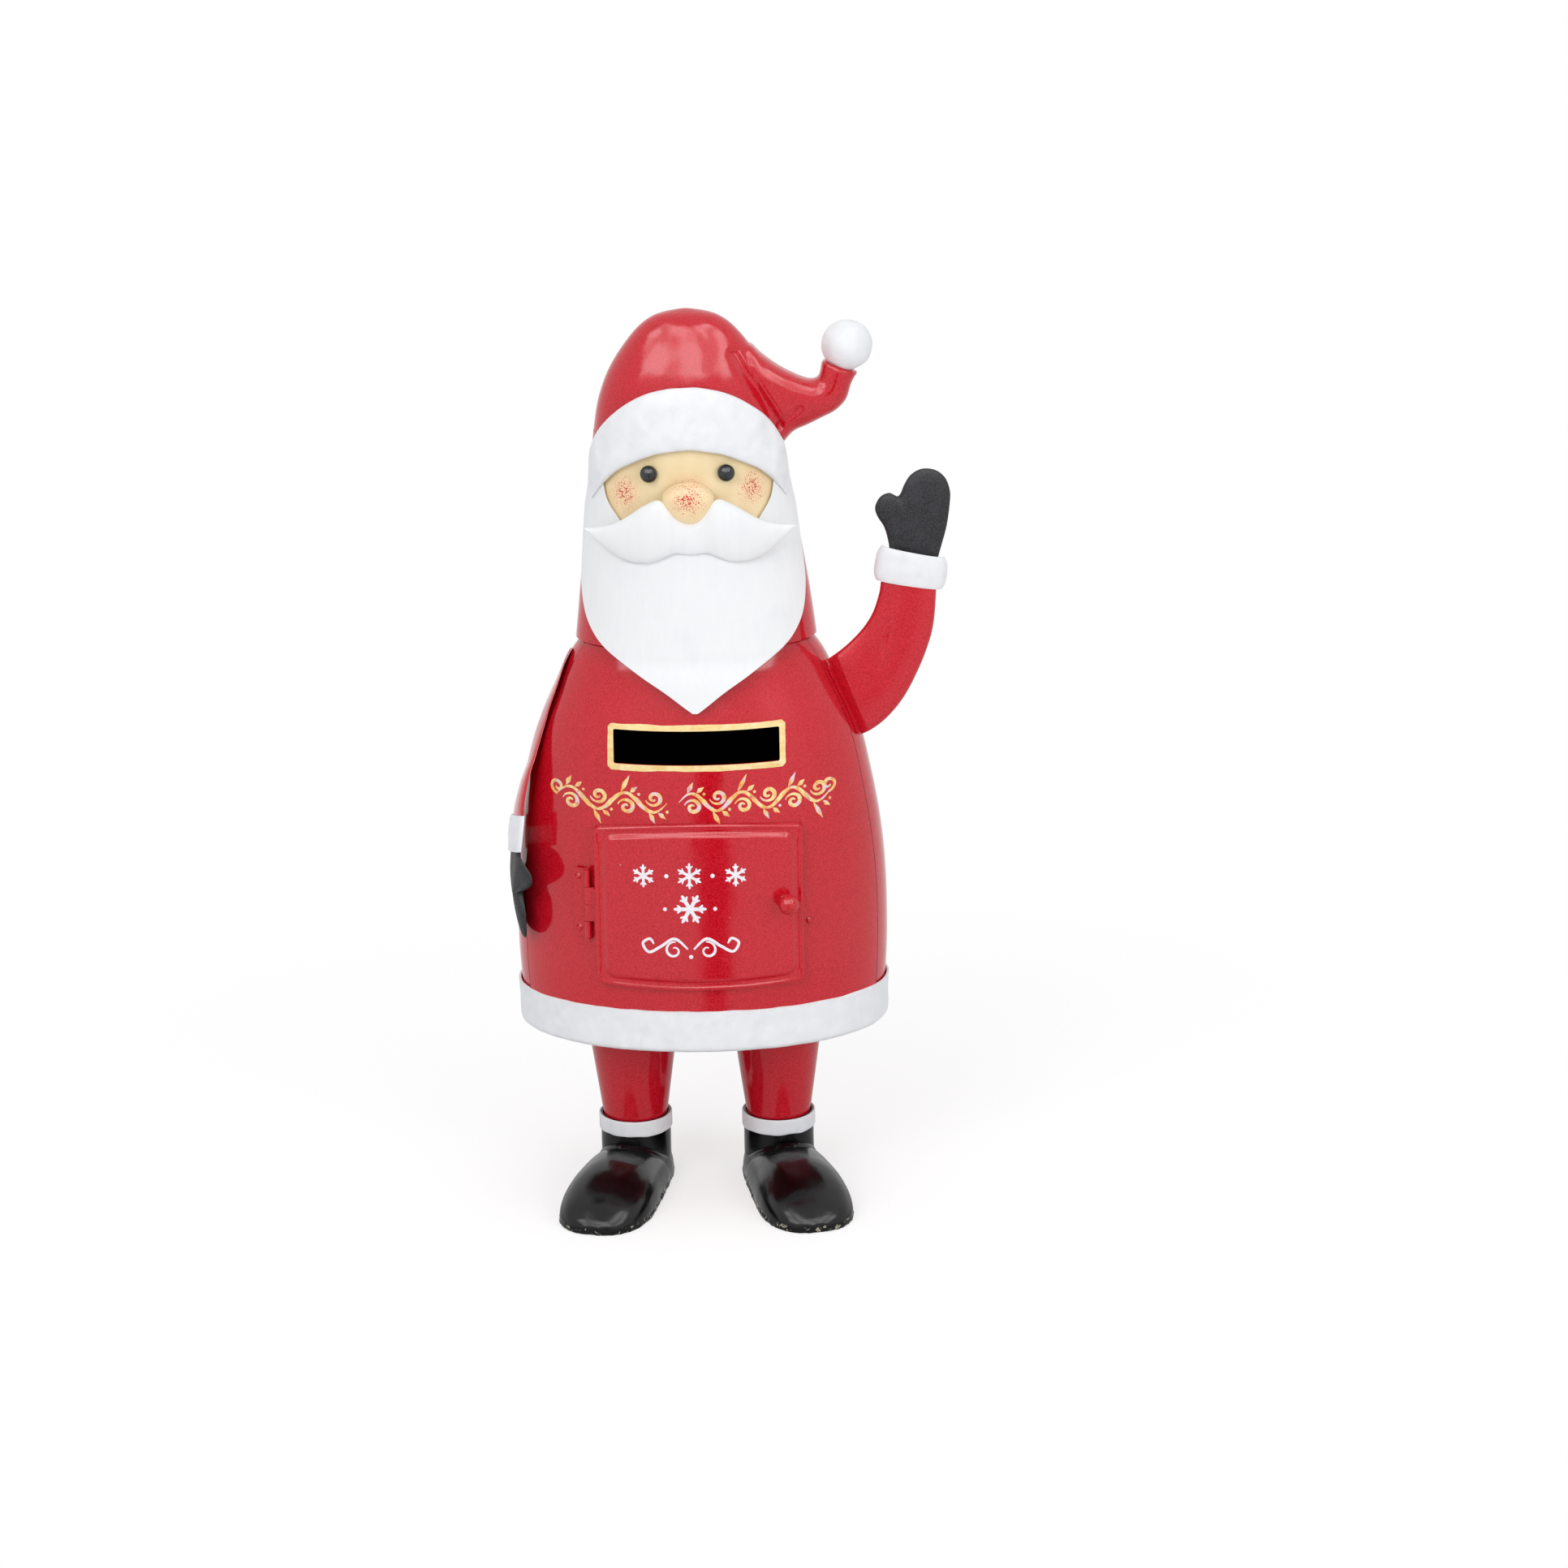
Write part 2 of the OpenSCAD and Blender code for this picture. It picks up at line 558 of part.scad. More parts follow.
// Angle by which the arm's sheet is turned to the front, against the place along the arm
arm_turns = [[-10, 0], [0, 2], [16, 8], [30, 12], [41, 9], [54, 8], [67, 10], [79, 13], [98, 12], [108, 14],
    [118, 17], [128, 15], [140, 12]];
// Curl of the hand towards the body, in mm against the square of the place across the arm
hand_curl = [[98, 0], [108, 0.011], [130, 0.01], [150, 0.006]];
function side_out(along) = let (turn = lookup(along, arm_turns)) [-cos(turn), -sin(turn), 0];
// Place of the body's side at the depth y and height z, with a distance in front of it
function side_x(y, z, gap) =
    let (r = body_r(z) + gap, b = body_r(z) * roundness + gap) -r * sqrt(max(0, 1 - pow(y / b, 2)));
function at_side(across, along) =
    let (y = -arm_fore - along * sin(arm_swing), z = arm_top_z - along * cos(arm_swing),
        turn = lookup(along, arm_turns),
        x = side_x(y, z, seat_gap) - lookup(along, arm_stands) + pow(across, 2) * lookup(along, hand_curl),
        p = [x, y, z] + across * [cos(arm_swing) * sin(turn), -cos(arm_swing) * cos(turn), sin(arm_swing)])
    [min(p[0], side_x(p[1], p[2], seat_gap)), p[1], p[2]];
// Front edge, back edge and height of the lowered sleeve against the place along the arm
lowered_shape = [[1.5, -1.5, -6.5], [5, -4, -4.5], [8, -7, 2], [9.5, -8, 14], [10, -7.5, 28], [11.5, -9, 41],
    [13, -11.5, 54], [14, -13, 67], [14.3, -14, 84]];
module lowered_sleeve() color(red) in_frame()
loft([for (s = curve(lowered_shape, 2))
    arch(at_side(s[0], s[2]), at_side(s[1], s[2]), side_out(s[2]),
        lookup(s[2], [[28, lap], [60, low_sleeve_depth]]))]);

lowered_cuff_ends = [77.5, 95.8];
cuff_half = 14.8;
module lowered_cuff() color(white) in_frame()
{
    top = lowered_cuff_ends[0];
    low = lowered_cuff_ends[1];
    loft(cuff_sections(at_side(cuff_half, top), at_side(-cuff_half, top),
        at_side(cuff_half - 1, low), at_side(-cuff_half + 1, low), side_out(low), low_cuff_depth));
}

// Outline of the hanging mitten around its middle: across the arm, and along it
lowered_mitten_middle = [-2, 118];
hanging_shape = [[-11.5, -25], [-12, -20], [-16.5, -13], [-19.3, -4], [-19.5, 4], [-17, 12], [-13, 18.5],
    [-7.5, 22], [-2, 21.8], [3, 18], [5.5, 12], [6, 6], [4.5, -0.5], [8, -2.2], [13.5, -3.5], [18.2, -6.5],
    [19.3, -12], [16.5, -18], [12.2, -21], [11.5, -25]];
module lowered_mitten() color(black) in_frame()
{
    middle = lowered_mitten_middle;
    loft(dome([for (p = hanging_shape) at_side(p[0], middle[1] + p[1])],
        at_side(middle[0], middle[1]), side_out(middle[1]), low_mitten_depth));
}

// ---------------------------------------------------------------- legs and boots

module at_leg(side) translate([side * leg_span / 2, 0, 0]) rotate([0, 0, side * toe_out]) children();

module leg(side) color(red) in_frame() at_leg(side)
difference()
{
    translate([0, 0, sole_t])
        cylinder(d1 = leg_foot_d, d2 = leg_top_d, h = base_z - sheet - sole_t - lap_gap);
    translate([0, 0, sole_t - past])
        cylinder(d1 = leg_foot_d - 2 * sheet, d2 = leg_top_d - 2 * sheet,
            h = base_z - sheet - sole_t + 2 * past);
}
module left_leg() leg(-1);
module right_leg() leg(1);

module boot_shaft(side) color(black) in_frame() at_leg(side)
difference()
{
    translate([0, 0, sole_t]) cylinder(d = shaft_d, h = shaft_z - sole_t);
    cylinder(d = shaft_d - 2 * sheet, h = shaft_z + past);
}
module left_boot_shaft() boot_shaft(-1);
module right_boot_shaft() boot_shaft(1);

module boot_band(side) color(white) in_frame() at_leg(side)
translate([0, 0, shaft_z - boot_band_h]) difference()
{
    cylinder(d = shaft_d + 2 * lap, h = boot_band_h);
    translate([0, 0, -past]) cylinder(d = shaft_d + 2 * lap_gap, h = boot_band_h + 2 * past);
}
module left_boot_band() boot_band(-1);
module right_boot_band() boot_band(1);

// Half-width, height and place of the boot's upper along the foot, from heel to toe
upper_shape = [[8, 19, -1], [13, 21, -0.86], [17.4, 23, -0.45], [19.6, 25, 0], [20.8, 27, 0.16],
    [22, 25.5, 0.34], [23.4, 22.5, 0.54], [23.2, 18, 0.72], [19.8, 12.5, 0.87], [13, 7, 0.965], [5.5, 4, 1]];
upper_line = curve(upper_shape, 2);
function along_foot(t) = t < 0 ? t * heel_reach : t * toe_reach;
upper_fullness = 0.8;
upper_turn = 15;
function power(v, n) = sign(v) * pow(abs(v), n);
function upper_arch(half, high, y) = [for (u = [0 : upper_turn : 180])
    [half * power(cos(u), upper_fullness), y, sole_t + high * power(sin(u), upper_fullness)]];
function backwards(p) = [for (i = [len(p) - 1 : -1 : 0]) p[i]];
// A hollow ring is the sheet alone, and a full one closes the end of the boot
function upper_ring(s, y, hollow) =
    let (half = s[0] - sheet, high = s[1] - sheet, n = 180 / upper_turn)
    concat(upper_arch(s[0], s[1], y), hollow ? backwards(upper_arch(half, high, y))
        : [for (i = [0 : n]) [lerp(-half, half, i / n), y, sole_t]]);
module upper_shell()
{
    last = len(upper_line) - 1;
    heel = -along_foot(-1);
    toe = -along_foot(1);
    loft(concat(
        [upper_ring(upper_line[0], heel, false), upper_ring(upper_line[0], heel - sheet, false),
            upper_ring(upper_line[0], heel - sheet, true)],
        [for (i = [1 : last - 1]) upper_ring(upper_line[i], -along_foot(upper_line[i][2]), true)],
        [upper_ring(upper_line[last], toe + sheet, true), upper_ring(upper_line[last], toe + sheet, false),
            upper_ring(upper_line[last], toe, false)]));
}

module boot_upper(side) color(black) in_frame() at_leg(side)
difference()
{
    upper_shell();
    cylinder(d = shaft_d + 2 * lap_gap, h = 2 * shaft_z);
}
module left_boot_upper() boot_upper(-1);
module right_boot_upper() boot_upper(1);

module boot_sole(side) color(black) in_frame() at_leg(side)
linear_extrude(sole_t)
polygon(concat(
    [for (s = upper_line) [s[0], -along_foot(s[2])]],
    [for (s = backwards(upper_line)) [-s[0], -along_foot(s[2])]]));
module left_boot_sole() boot_sole(-1);
module right_boot_sole() boot_sole(1);

// ---------------------------------------------------------------- door hinge

rivet_d = 2;
rivet_head_d = 3.4;
rivet_head_h = 0.7;
hinge_x = -door_w / 2 - barrel_d / 2 - 1.6;
hinge_z = door_z();
hinge_out = oval_out(body_r(hinge_z) + lap, hinge_x, panel_y(hinge_x, hinge_z, 0));
hinge_turn = atan2(hinge_out[0], -hinge_out[1]);
// Axis of the hinge pin, just clear of the front panel along the hinge's whole length
hinge_axis = [hinge_x, panel_y(hinge_x, hinge_z, 0), hinge_z] + hinge_out * (barrel_d / 2 + 1.5 * seat_gap);
knuckle_h = hinge_h / 4;

module hinge_place() translate(hinge_axis) rotate([0, 0, hinge_turn]) children();

module knuckles(first, last)
difference()
{
    for (i = [first : last])
        translate([0, 0, -hinge_h / 2 + i * knuckle_h + knuckle_gap / 2])
            cylinder(d = barrel_d, h = knuckle_h - knuckle_gap);
    translate([0, 0, -hinge_h]) cylinder(d = pin_d + 2 * pin_play, h = 2 * hinge_h);
}

leaf_t = sheet;
leaf_y = barrel_d / 2 - leaf_t;
hinge_rivet_z = hinge_h / 2 - knuckle_h / 2;
module hinge_rivet_places()
for (s = [-1, 1]) translate([-leaf_w + 2.6, leaf_y, s * hinge_rivet_z]) rotate([90, 0, 0]) children();

module hinge_rivet_holes()
hinge_rivet_places() translate([0, 0, -leaf_t - 3 * sheet]) cylinder(d = rivet_d, h = 6 * sheet);

module hinge_body_leaf() color(red) in_frame() hinge_place()
difference()
{
    union()
    {
        knuckles(0, 0);
        knuckles(3, 3);
        translate([-leaf_w, leaf_y, -hinge_h / 2])
            cube([leaf_w - barrel_d / 2 - seat_gap, leaf_t, hinge_h]);
        for (i = [0, 3])
            translate([-leaf_w, leaf_y, -hinge_h / 2 + i * knuckle_h + knuckle_gap / 2])
                cube([leaf_w, leaf_t, knuckle_h - knuckle_gap]);
    }
    translate([0, 0, -hinge_h]) cylinder(d = pin_d + 2 * pin_play, h = 2 * hinge_h);
    hinge_rivet_places() translate([0, 0, -leaf_t - past]) cylinder(d = rivet_d, h = leaf_t + 2 * past);
}

// Each rivet has a round head on the leaf and a second one inside the panel
module hinge_body_rivets() color(red) in_frame() hinge_place()
hinge_rivet_places()
{
    inside = leaf_t + 4 * seat_gap + 2 * sheet;
    translate([0, 0, -inside - rivet_head_h / 2])
        cylinder(d = rivet_d - 2 * lap_gap, h = inside + rivet_head_h);
    translate([0, 0, lap_gap / 2]) cylinder(d1 = rivet_head_d, d2 = rivet_d, h = rivet_head_h);
    translate([0, 0, -inside - rivet_head_h]) cylinder(d = rivet_head_d, h = rivet_head_h);
}

pin_head_h = 0.8;
module hinge_pin() color(steel) in_frame() hinge_place()
{
    translate([0, 0, -hinge_h / 2 - pin_head_h]) cylinder(d = pin_d, h = hinge_h + 2 * pin_head_h);
    for (z = [-hinge_h / 2 - pin_head_h, hinge_h / 2])
        translate([0, 0, z + (z > 0 ? lap_gap : -lap_gap)])
            cylinder(d = barrel_d - sheet, h = pin_head_h);
}

// The door's leaf is bent along the outside of the door's turned edge
edge_leaf_h = 2 * knuckle_h - knuckle_gap;
module hinge_door_leaf() color(red) in_frame()
{
    hinge_place() knuckles(1, 2);
    difference()
    {
        translate([hinge_axis[0], hinge_axis[1] - barrel_d / 2, hinge_z - edge_leaf_h / 2])
            union()
            {
                cube([-door_w / 2 - lap_gap - hinge_axis[0], leaf_t, edge_leaf_h]);
                translate([-door_w / 2 - lap_gap - leaf_t - hinge_axis[0], leaf_t - door_proud - 0.6, 0])
                    cube([leaf_t, door_proud + 0.6, edge_leaf_h]);
            }
        translate([hinge_axis[0], hinge_axis[1], hinge_z - hinge_h])
            cylinder(d = pin_d + 2 * pin_play, h = 2 * hinge_h);
    }
}

// ---------------------------------------------------------------- door

door_columns = 14;
door_rows = 6;
door_bevel = 1;
function door_rise(x) = door_bow * (1 - pow(2 * x / door_w, 2));
function door_low(x) = door_z() - door_h / 2 - door_rise(x);
function door_high(x) = door_z() + door_h / 2 + door_rise(x);
function door_y(x, z) = panel_y(x, z, door_proud + door_flat * pow(2 * x / door_w, 2));
function door_back(x, z) = [x, panel_y(x, z, door_gap), z];
// Heights of the points across the door's face, with the border and its bevel at both ends
function door_heights(low, high) =
    let (in = door_border + door_bevel)
    concat([low, low + door_border],
        [for (i = [0 : door_rows]) lerp(low + in, high - in, i / door_rows)],
        [high - door_border, high]);
// Upright ring of the door at x: a hollow ring is the sheet alone, and a full one is the turned edge
function door_ring(x, raised, hollow) =
    let (low = door_low(x), high = door_high(x), zs = door_heights(low, high), n = len(zs), t = sheet,
        face = [for (i = [0 : n - 1])
            [x, door_y(x, zs[i]) - (raised && i > 1 && i < n - 2 ? door_relief : 0), zs[i]]])
    concat([door_back(x, low)], face, [door_back(x, high)],
        hollow
            ? concat([door_back(x, high - t)],
                [for (p = backwards(face)) [x, p[1] + t, min(high - t, max(low + t, p[2]))]],
                [door_back(x, low + t)])
            : [for (i = [0 : n + 1]) door_back(x, lerp(high - t, low + t, i / (n + 1)))]);
module door_tray()
{
    edge = door_w / 2;
    step = edge - door_border;
    middle = step - door_bevel;
    left = [door_ring(-edge, false, false), door_ring(-edge + sheet, false, false),
        door_ring(-edge + sheet, false, true), door_ring(-step, false, true)];
    right = [door_ring(step, false, true), door_ring(edge - sheet, false, true),
        door_ring(edge - sheet, false, false), door_ring(edge, false, false)];
    face = [for (i = [0 : door_columns]) door_ring(lerp(-middle, middle, i / door_columns), true, true)];
    loft(backwards(concat(left, face, right)));
}

knob_x = door_w / 2 - knob_in;
knob_z = door_z() + 3;
knob_slope = (door_y(knob_x + 1, knob_z) - door_y(knob_x - 1, knob_z)) / 2;
module knob_place()
translate([knob_x, door_y(knob_x, knob_z) - door_relief, knob_z]) rotate([90, 0, atan(knob_slope)])
    children();

module door_panel() color(red) in_frame()
difference()
{
    door_tray();
    knob_place() translate([0, 0, -door_relief - 3 * sheet])
        cylinder(d = screw_d + 2 * lap_gap, h = 6 * sheet + door_relief);
}

// Ball on a neck, with a blind hole for the screw
module door_knob() color(red) in_frame() knob_place()
difference()
{
    union()
    {
        translate([0, 0, seat_gap]) cylinder(d = knob_neck_d, h = knob_neck_h + knob_d / 4);
        translate([0, 0, knob_neck_h + knob_d / 2]) sphere(d = knob_d);
    }
    cylinder(d = screw_d, h = knob_neck_h + knob_d / 2);
}

module knob_screw() color(steel) in_frame() knob_place()
{
    back = -sheet - 2 * seat_gap;
    translate([0, 0, back])
        cylinder(d = screw_d - 2 * pin_play, h = knob_neck_h + knob_d / 2 - 1 - back);
    translate([0, 0, back - 1]) cylinder(d = 2 * screw_d, h = 1);
}

// ---------------------------------------------------------------- magnet catch

magnet_d = 8;
magnet_t = 3;
bracket_t = 1;
catch_w = 12;
catch_foot = 13;
catch_x = door_w / 2 - door_lap;
catch_drop = 14;
catch_z = knob_z - catch_drop;
magnet_x = catch_x - magnet_d / 2 - bracket_t - 1;
// Face of the magnet, just behind the door's raised middle
magnet_y = door_y(magnet_x + magnet_d / 2, catch_z) - door_relief + sheet + seat_gap;
rivet_x = door_w / 2 + rivet_head_d / 2 + 1;
function inside_y(x) = panel_y(x, catch_z, -sheet - seat_gap);
module at_catch_rivet()
{
    out = oval_out(body_r(catch_z) + lap, rivet_x, panel_y(rivet_x, catch_z, 0));
    translate([rivet_x, panel_y(rivet_x, catch_z, 0), catch_z])
        rotate([90, 0, atan2(out[0], -out[1])]) children();
}

// Bent strip: a pad behind the magnet, a web through the opening and a foot on the inside of the panel
module catch_bracket() color(steel) in_frame()
{
    pad = magnet_y + magnet_t;
    left = magnet_x - magnet_d / 2;
    web = catch_x - bracket_t / 2;
    tip = catch_x + catch_foot;
    difference()
    {
        translate([0, 0, catch_z - catch_w / 2]) linear_extrude(catch_w)
            polygon([[left, pad], [web, pad], [web, inside_y(web)], [tip, inside_y(tip)],
                [tip, inside_y(tip) + bracket_t], [web - bracket_t, inside_y(web) + bracket_t],
                [web - bracket_t, pad + bracket_t], [left, pad + bracket_t]]);
        at_catch_rivet() translate([0, 0, -sheet - 3 * bracket_t])
            cylinder(d = rivet_d, h = 4 * bracket_t);
    }
}

module catch_magnet() color(black) in_frame()
translate([magnet_x, magnet_y + magnet_t, catch_z]) rotate([90, 0, 0])
    cylinder(d = magnet_d, h = magnet_t);

module catch_rivet() color(red) in_frame() at_catch_rivet()
{
    inside = 2 * sheet + bracket_t + seat_gap;
    translate([0, 0, -inside - rivet_head_h / 2])
        cylinder(d = rivet_d - 2 * lap_gap, h = inside + seat_gap + rivet_head_h);
    translate([0, 0, seat_gap]) cylinder(d1 = rivet_head_d, d2 = rivet_d, h = rivet_head_h);
    translate([0, 0, -inside - rivet_head_h]) cylinder(d = rivet_head_d, h = rivet_head_h);
}

front_panel();
back_panel();
hem_band();
base_plate();
head_back();
head_front();
hat_front();
hat_back();
pompom();
hat_brim();
left_eye();
right_eye();
nose();
moustache();
beard();
raised_sleeve();
raised_cuff();
raised_mitten();
lowered_sleeve();
lowered_cuff();
lowered_mitten();
left_leg();
right_leg();
left_boot_shaft();
right_boot_shaft();
left_boot_band();
right_boot_band();
left_boot_upper();
right_boot_upper();
left_boot_sole();
right_boot_sole();
hinge_body_leaf();
hinge_body_rivets();
hinge_pin();
catch_bracket();
catch_magnet();
catch_rivet();
door_panel();
hinge_door_leaf();
door_knob();
knob_screw();
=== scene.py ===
# Looks of the tin money box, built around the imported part
import math

import bmesh
import bpy
from mathutils import Matrix, Vector, noise

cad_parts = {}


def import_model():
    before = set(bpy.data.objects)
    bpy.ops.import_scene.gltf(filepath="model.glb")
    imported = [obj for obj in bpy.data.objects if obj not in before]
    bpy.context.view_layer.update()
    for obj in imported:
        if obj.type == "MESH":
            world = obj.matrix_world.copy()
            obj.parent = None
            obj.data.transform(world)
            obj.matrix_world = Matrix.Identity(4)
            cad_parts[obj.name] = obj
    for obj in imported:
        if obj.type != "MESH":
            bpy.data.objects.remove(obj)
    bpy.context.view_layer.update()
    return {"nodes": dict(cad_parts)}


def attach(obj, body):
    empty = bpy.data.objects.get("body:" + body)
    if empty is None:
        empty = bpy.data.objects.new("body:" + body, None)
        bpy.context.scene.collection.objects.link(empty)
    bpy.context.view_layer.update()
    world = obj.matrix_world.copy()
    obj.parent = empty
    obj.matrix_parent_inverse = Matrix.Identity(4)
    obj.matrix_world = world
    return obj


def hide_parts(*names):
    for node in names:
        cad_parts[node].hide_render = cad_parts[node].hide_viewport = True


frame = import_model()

MM = 0.001
# Middle of the part's box, measured from the body's axis, in millimetres
MIDDLE = (15.3, -11.4, 0.0)

# Sizes in millimetres, the same as the part's
SHEET = 0.8
LAP = 0.9
SEAT = 0.3
BODY_W, ROUNDNESS, SKIRT_Z, BODY_H = 190.4, 0.645, 92.0, 198.0
SEAM_ANGLE, LAP_ANGLE = 21, 6
HEM_UP, HEM_CURL = 20.0, 7.5
SLOT_W, SLOT_H = 82.5, 16.5
SLOT_Z = SKIRT_Z + 155
DOOR_W, DOOR_H, DOOR_Z = 104.0, 80.0, SKIRT_Z + 75
DOOR_BOW, DOOR_PROUD, DOOR_FLAT, DOOR_LAP, DOOR_GAP = 2.8, 2.6, 2.6, 6.0, 0.5
KNOB_D, KNOB_NECK_D, KNOB_NECK_H = 10.2, 5.0, 2.5
HEAD_W, HEAD_H = 121.6, 168.0
HEAD_U = HEAD_W / 2
HEAD_Z = SKIRT_Z + BODY_H
HAT_Z = HEAD_Z + 0.643 * HEAD_H
EYE_D, EYE_X, EYE_Z = 8.6, 18.5, HEAD_Z + 0.543 * HEAD_H
POMPOM_D = 25.4
LEG_SPAN, LEG_TOP_D, LEG_FOOT_D, TOE_OUT = 74.8, 50.0, 24.0, 14.0
SHAFT_D, SHAFT_Z, BAND_H = 36.4, 36.0, 8.2
TOE_REACH, HEEL_REACH, SOLE_T = 85.0, 20.5, 1.2
ARM_FRONT = 8.0


# ---------------------------------------------------------------- helpers

def lerp(a, b, t):
    if isinstance(a, (int, float)):
        return a + (b - a) * t
    return tuple(x + (y - x) * t for x, y in zip(a, b))


def clamp(v, low=0.0, high=1.0):
    return max(low, min(high, v))


def smooth(low, high, v):
    t = clamp((v - low) / (high - low))
    return t * t * (3 - 2 * t)


def curve(points, steps, closed=False):
    """Smooth line through points, with so many steps between two of them."""
    n = len(points)

    def knot(i):
        return points[i % n] if closed else points[max(0, min(n - 1, i))]

    line = []
    for i in range(n if closed else n - 1):
        a, b, c, d = (knot(i + k) for k in (-1, 0, 1, 2))
        for s in range(steps):
            t = s / steps
            line.append(tuple(
                q + (r - p) * t / 2 + (2 * p - 5 * q + 4 * r - e) * t * t / 2
                + (3 * (q - r) + e - p) * t ** 3 / 2
                for p, q, r, e in zip(a, b, c, d)))
    return line if closed else line + [tuple(points[-1])]


def lookup(x, table):
    """Value at x of a table of pairs whose first entries rise."""
    if x <= table[0][0]:
        return table[0][1]
    for (x0, y0), (x1, y1) in zip(table, table[1:]):
        if x <= x1:
            return y0 + (y1 - y0) * (x - x0) / (x1 - x0)
    return table[-1][1]


def both_ways(half):
    """The line from its mirrored end over its middle to its end."""
    return [(-p[0], p[1]) for p in reversed(half)] + [tuple(p) for p in half[1:]]


def wave(p, size, seed=0.0):
    return noise.noise(Vector(p) / size + Vector((seed, 0.37 * seed, -seed)))


def dent(p, size, seed=0.0):
    """Depth from 0 to 1 of hammered dents of about that size."""
    q = Vector(p) / size + Vector((seed, seed, seed))
    near = noise.voronoi(q)[0][0]
    return max(0.0, 1 - (near / 0.62) ** 2)


def to_row(p):
    return tuple((p[k] - MIDDLE[k]) * MM for k in range(3))


# Angle in degrees from which an edge is shaded as sharp
SHARP = 35


def mesh_object(name, verts, faces, materials, index=None, sharp=SHARP):
    """A smooth mesh object from points in millimetres around the body's axis."""
    mesh = bpy.data.meshes.new(name)
    mesh.from_pydata([to_row(v) for v in verts], [], faces)
    for m in materials:
        mesh.materials.append(m)
    if index:
        mesh.polygons.foreach_set("material_index", index)
    bm = bmesh.new()
    bm.from_mesh(mesh)
    bmesh.ops.remove_doubles(bm, verts=bm.verts, dist=1e-7)
    bmesh.ops.recalc_face_normals(bm, faces=bm.faces)
    bm.to_mesh(mesh)
    bm.free()
    finish_shading(mesh, sharp)
    obj = bpy.data.objects.new(name, mesh)
    bpy.context.scene.collection.objects.link(obj)
    return obj


def finish_shading(mesh, sharp):
    mesh.polygons.foreach_set("use_smooth", [True] * len(mesh.polygons))
    mesh.set_sharp_from_angle(angle=math.radians(sharp))
    mesh.update()


def settle(obj):
    """Applies the object's modifiers."""
    graph = bpy.context.evaluated_depsgraph_get()
    mesh = bpy.data.meshes.new_from_object(obj.evaluated_get(graph))
    obj.modifiers.clear()
    obj.data = mesh
    finish_shading(mesh, SHARP)


def loft(rings, closed=False):
    """Points and faces of a solid through rings that have the same number of points."""
    n, m = len(rings[0]), len(rings)
    verts = [p for r in rings for p in r]
    faces = []
    for j in range(m if closed else m - 1):
        k = ((j + 1) % m) * n
        for i in range(n):
            faces.append((j * n + i, j * n + (i + 1) % n, k + (i + 1) % n, k + i))
    if not closed:
        for j in (0, m - 1):
            for i in range((n - 1) // 2):
                a, b, c, d = i, i + 1, n - 2 - i, n - 1 - i
                faces.append(tuple(j * n + v for v in ((a, b, c, d) if b != c else (a, b, d))))
    return verts, faces


def cut(obj, *tools):
    """Cuts closed tools out of a closed object and removes them."""
    for tool in tools:
        mod = obj.modifiers.new("cut", "BOOLEAN")
        mod.operation, mod.solver, mod.object = "DIFFERENCE", "EXACT", tool
    settle(obj)
    for tool in tools:
        bpy.data.objects.remove(tool)


def prism(outline, y0, y1):
    """Closed prism over an outline of X and Z, along Y."""
    verts, faces = loft([[(p[0], y, p[1]) for p in outline] for y in (y0, y1)])
    n = len(outline)
    faces = faces[:n] + [tuple(range(n)), tuple(range(n, 2 * n))]
    return mesh_object("cutter", verts, faces, [])


def rounded_box(w, h, z, r, steps=6):
    """Outline of a box with rounded corners around (0, z)."""
    line = []
    for cx, cz, a0 in ((1, 1, 0), (-1, 1, 90), (-1, -1, 180), (1, -1, 270)):
        for i in range(steps + 1):
            a = math.radians(a0 + 90 * i / steps)
            line.append((cx * (w / 2 - r) + r * math.cos(a), z + cz * (h / 2 - r) + r * math.sin(a)))
    return line


def add(obj, nodes=(), body="case"):
    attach(obj, body)
    if nodes:
        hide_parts(*nodes)
    return obj


# ---------------------------------------------------------------- surfaces of the body and head

BODY_SHAPE = [(0.982, 0), (0.989, 0.101), (0.999, 0.217), (0.996, 0.369), (0.972, 0.505),
              (0.919, 0.652), (0.854, 0.783), (0.734, 0.909), (0.68, 0.965), (0.632, 1)]
HEAD_SHAPE = [(1, 0.018), (0.988, 0.054), (0.949, 0.167), (0.896, 0.304), (0.844, 0.429),
              (0.795, 0.548), (0.772, 0.643), (0.72, 0.744), (0.612, 0.839), (0.42, 0.935),
              (0.245, 0.982), (0.02, 1)]
head_line = [(p[0] * HEAD_U, HEAD_Z + p[1] * HEAD_H) for p in curve(HEAD_SHAPE, 8)]
head_radii = [(z, r) for r, z in head_line]


def head_r(z):
    return lookup(z, head_radii)


NECK_IN = (2 * LAP + 0.2) / ROUNDNESS
body_line = [(p[0] * BODY_W / 2, SKIRT_Z + p[1] * BODY_H) for p in curve(BODY_SHAPE, 8)]
body_line += [(59.0, HEAD_Z + 1.4), (57.8, HEAD_Z + 2.6)]
body_line += [(head_r(HEAD_Z + t) - NECK_IN, HEAD_Z + t) for t in (3.6, 7.2, 12)]
body_radii = [(z, r) for r, z in body_line]


def body_r(z):
    return lookup(z, body_radii)


def oval(r, z, angle, proud):
    a = math.radians(angle)
    return ((r + proud) * math.cos(a), (r * ROUNDNESS + proud) * math.sin(a), z)


def oval_y(r, x, proud):
    return -(r * ROUNDNESS + proud) * math.sqrt(max(0, 1 - (x / (r + proud)) ** 2))


def oval_out(r, x, y):
    return tuple(Vector((x / r ** 2, y / (r * ROUNDNESS) ** 2, 0)).normalized())


def panel_y(x, z, proud):
    return oval_y(body_r(z), x, LAP + proud)


def head_y(x, z, proud):
    return oval_y(head_r(z), x, proud)


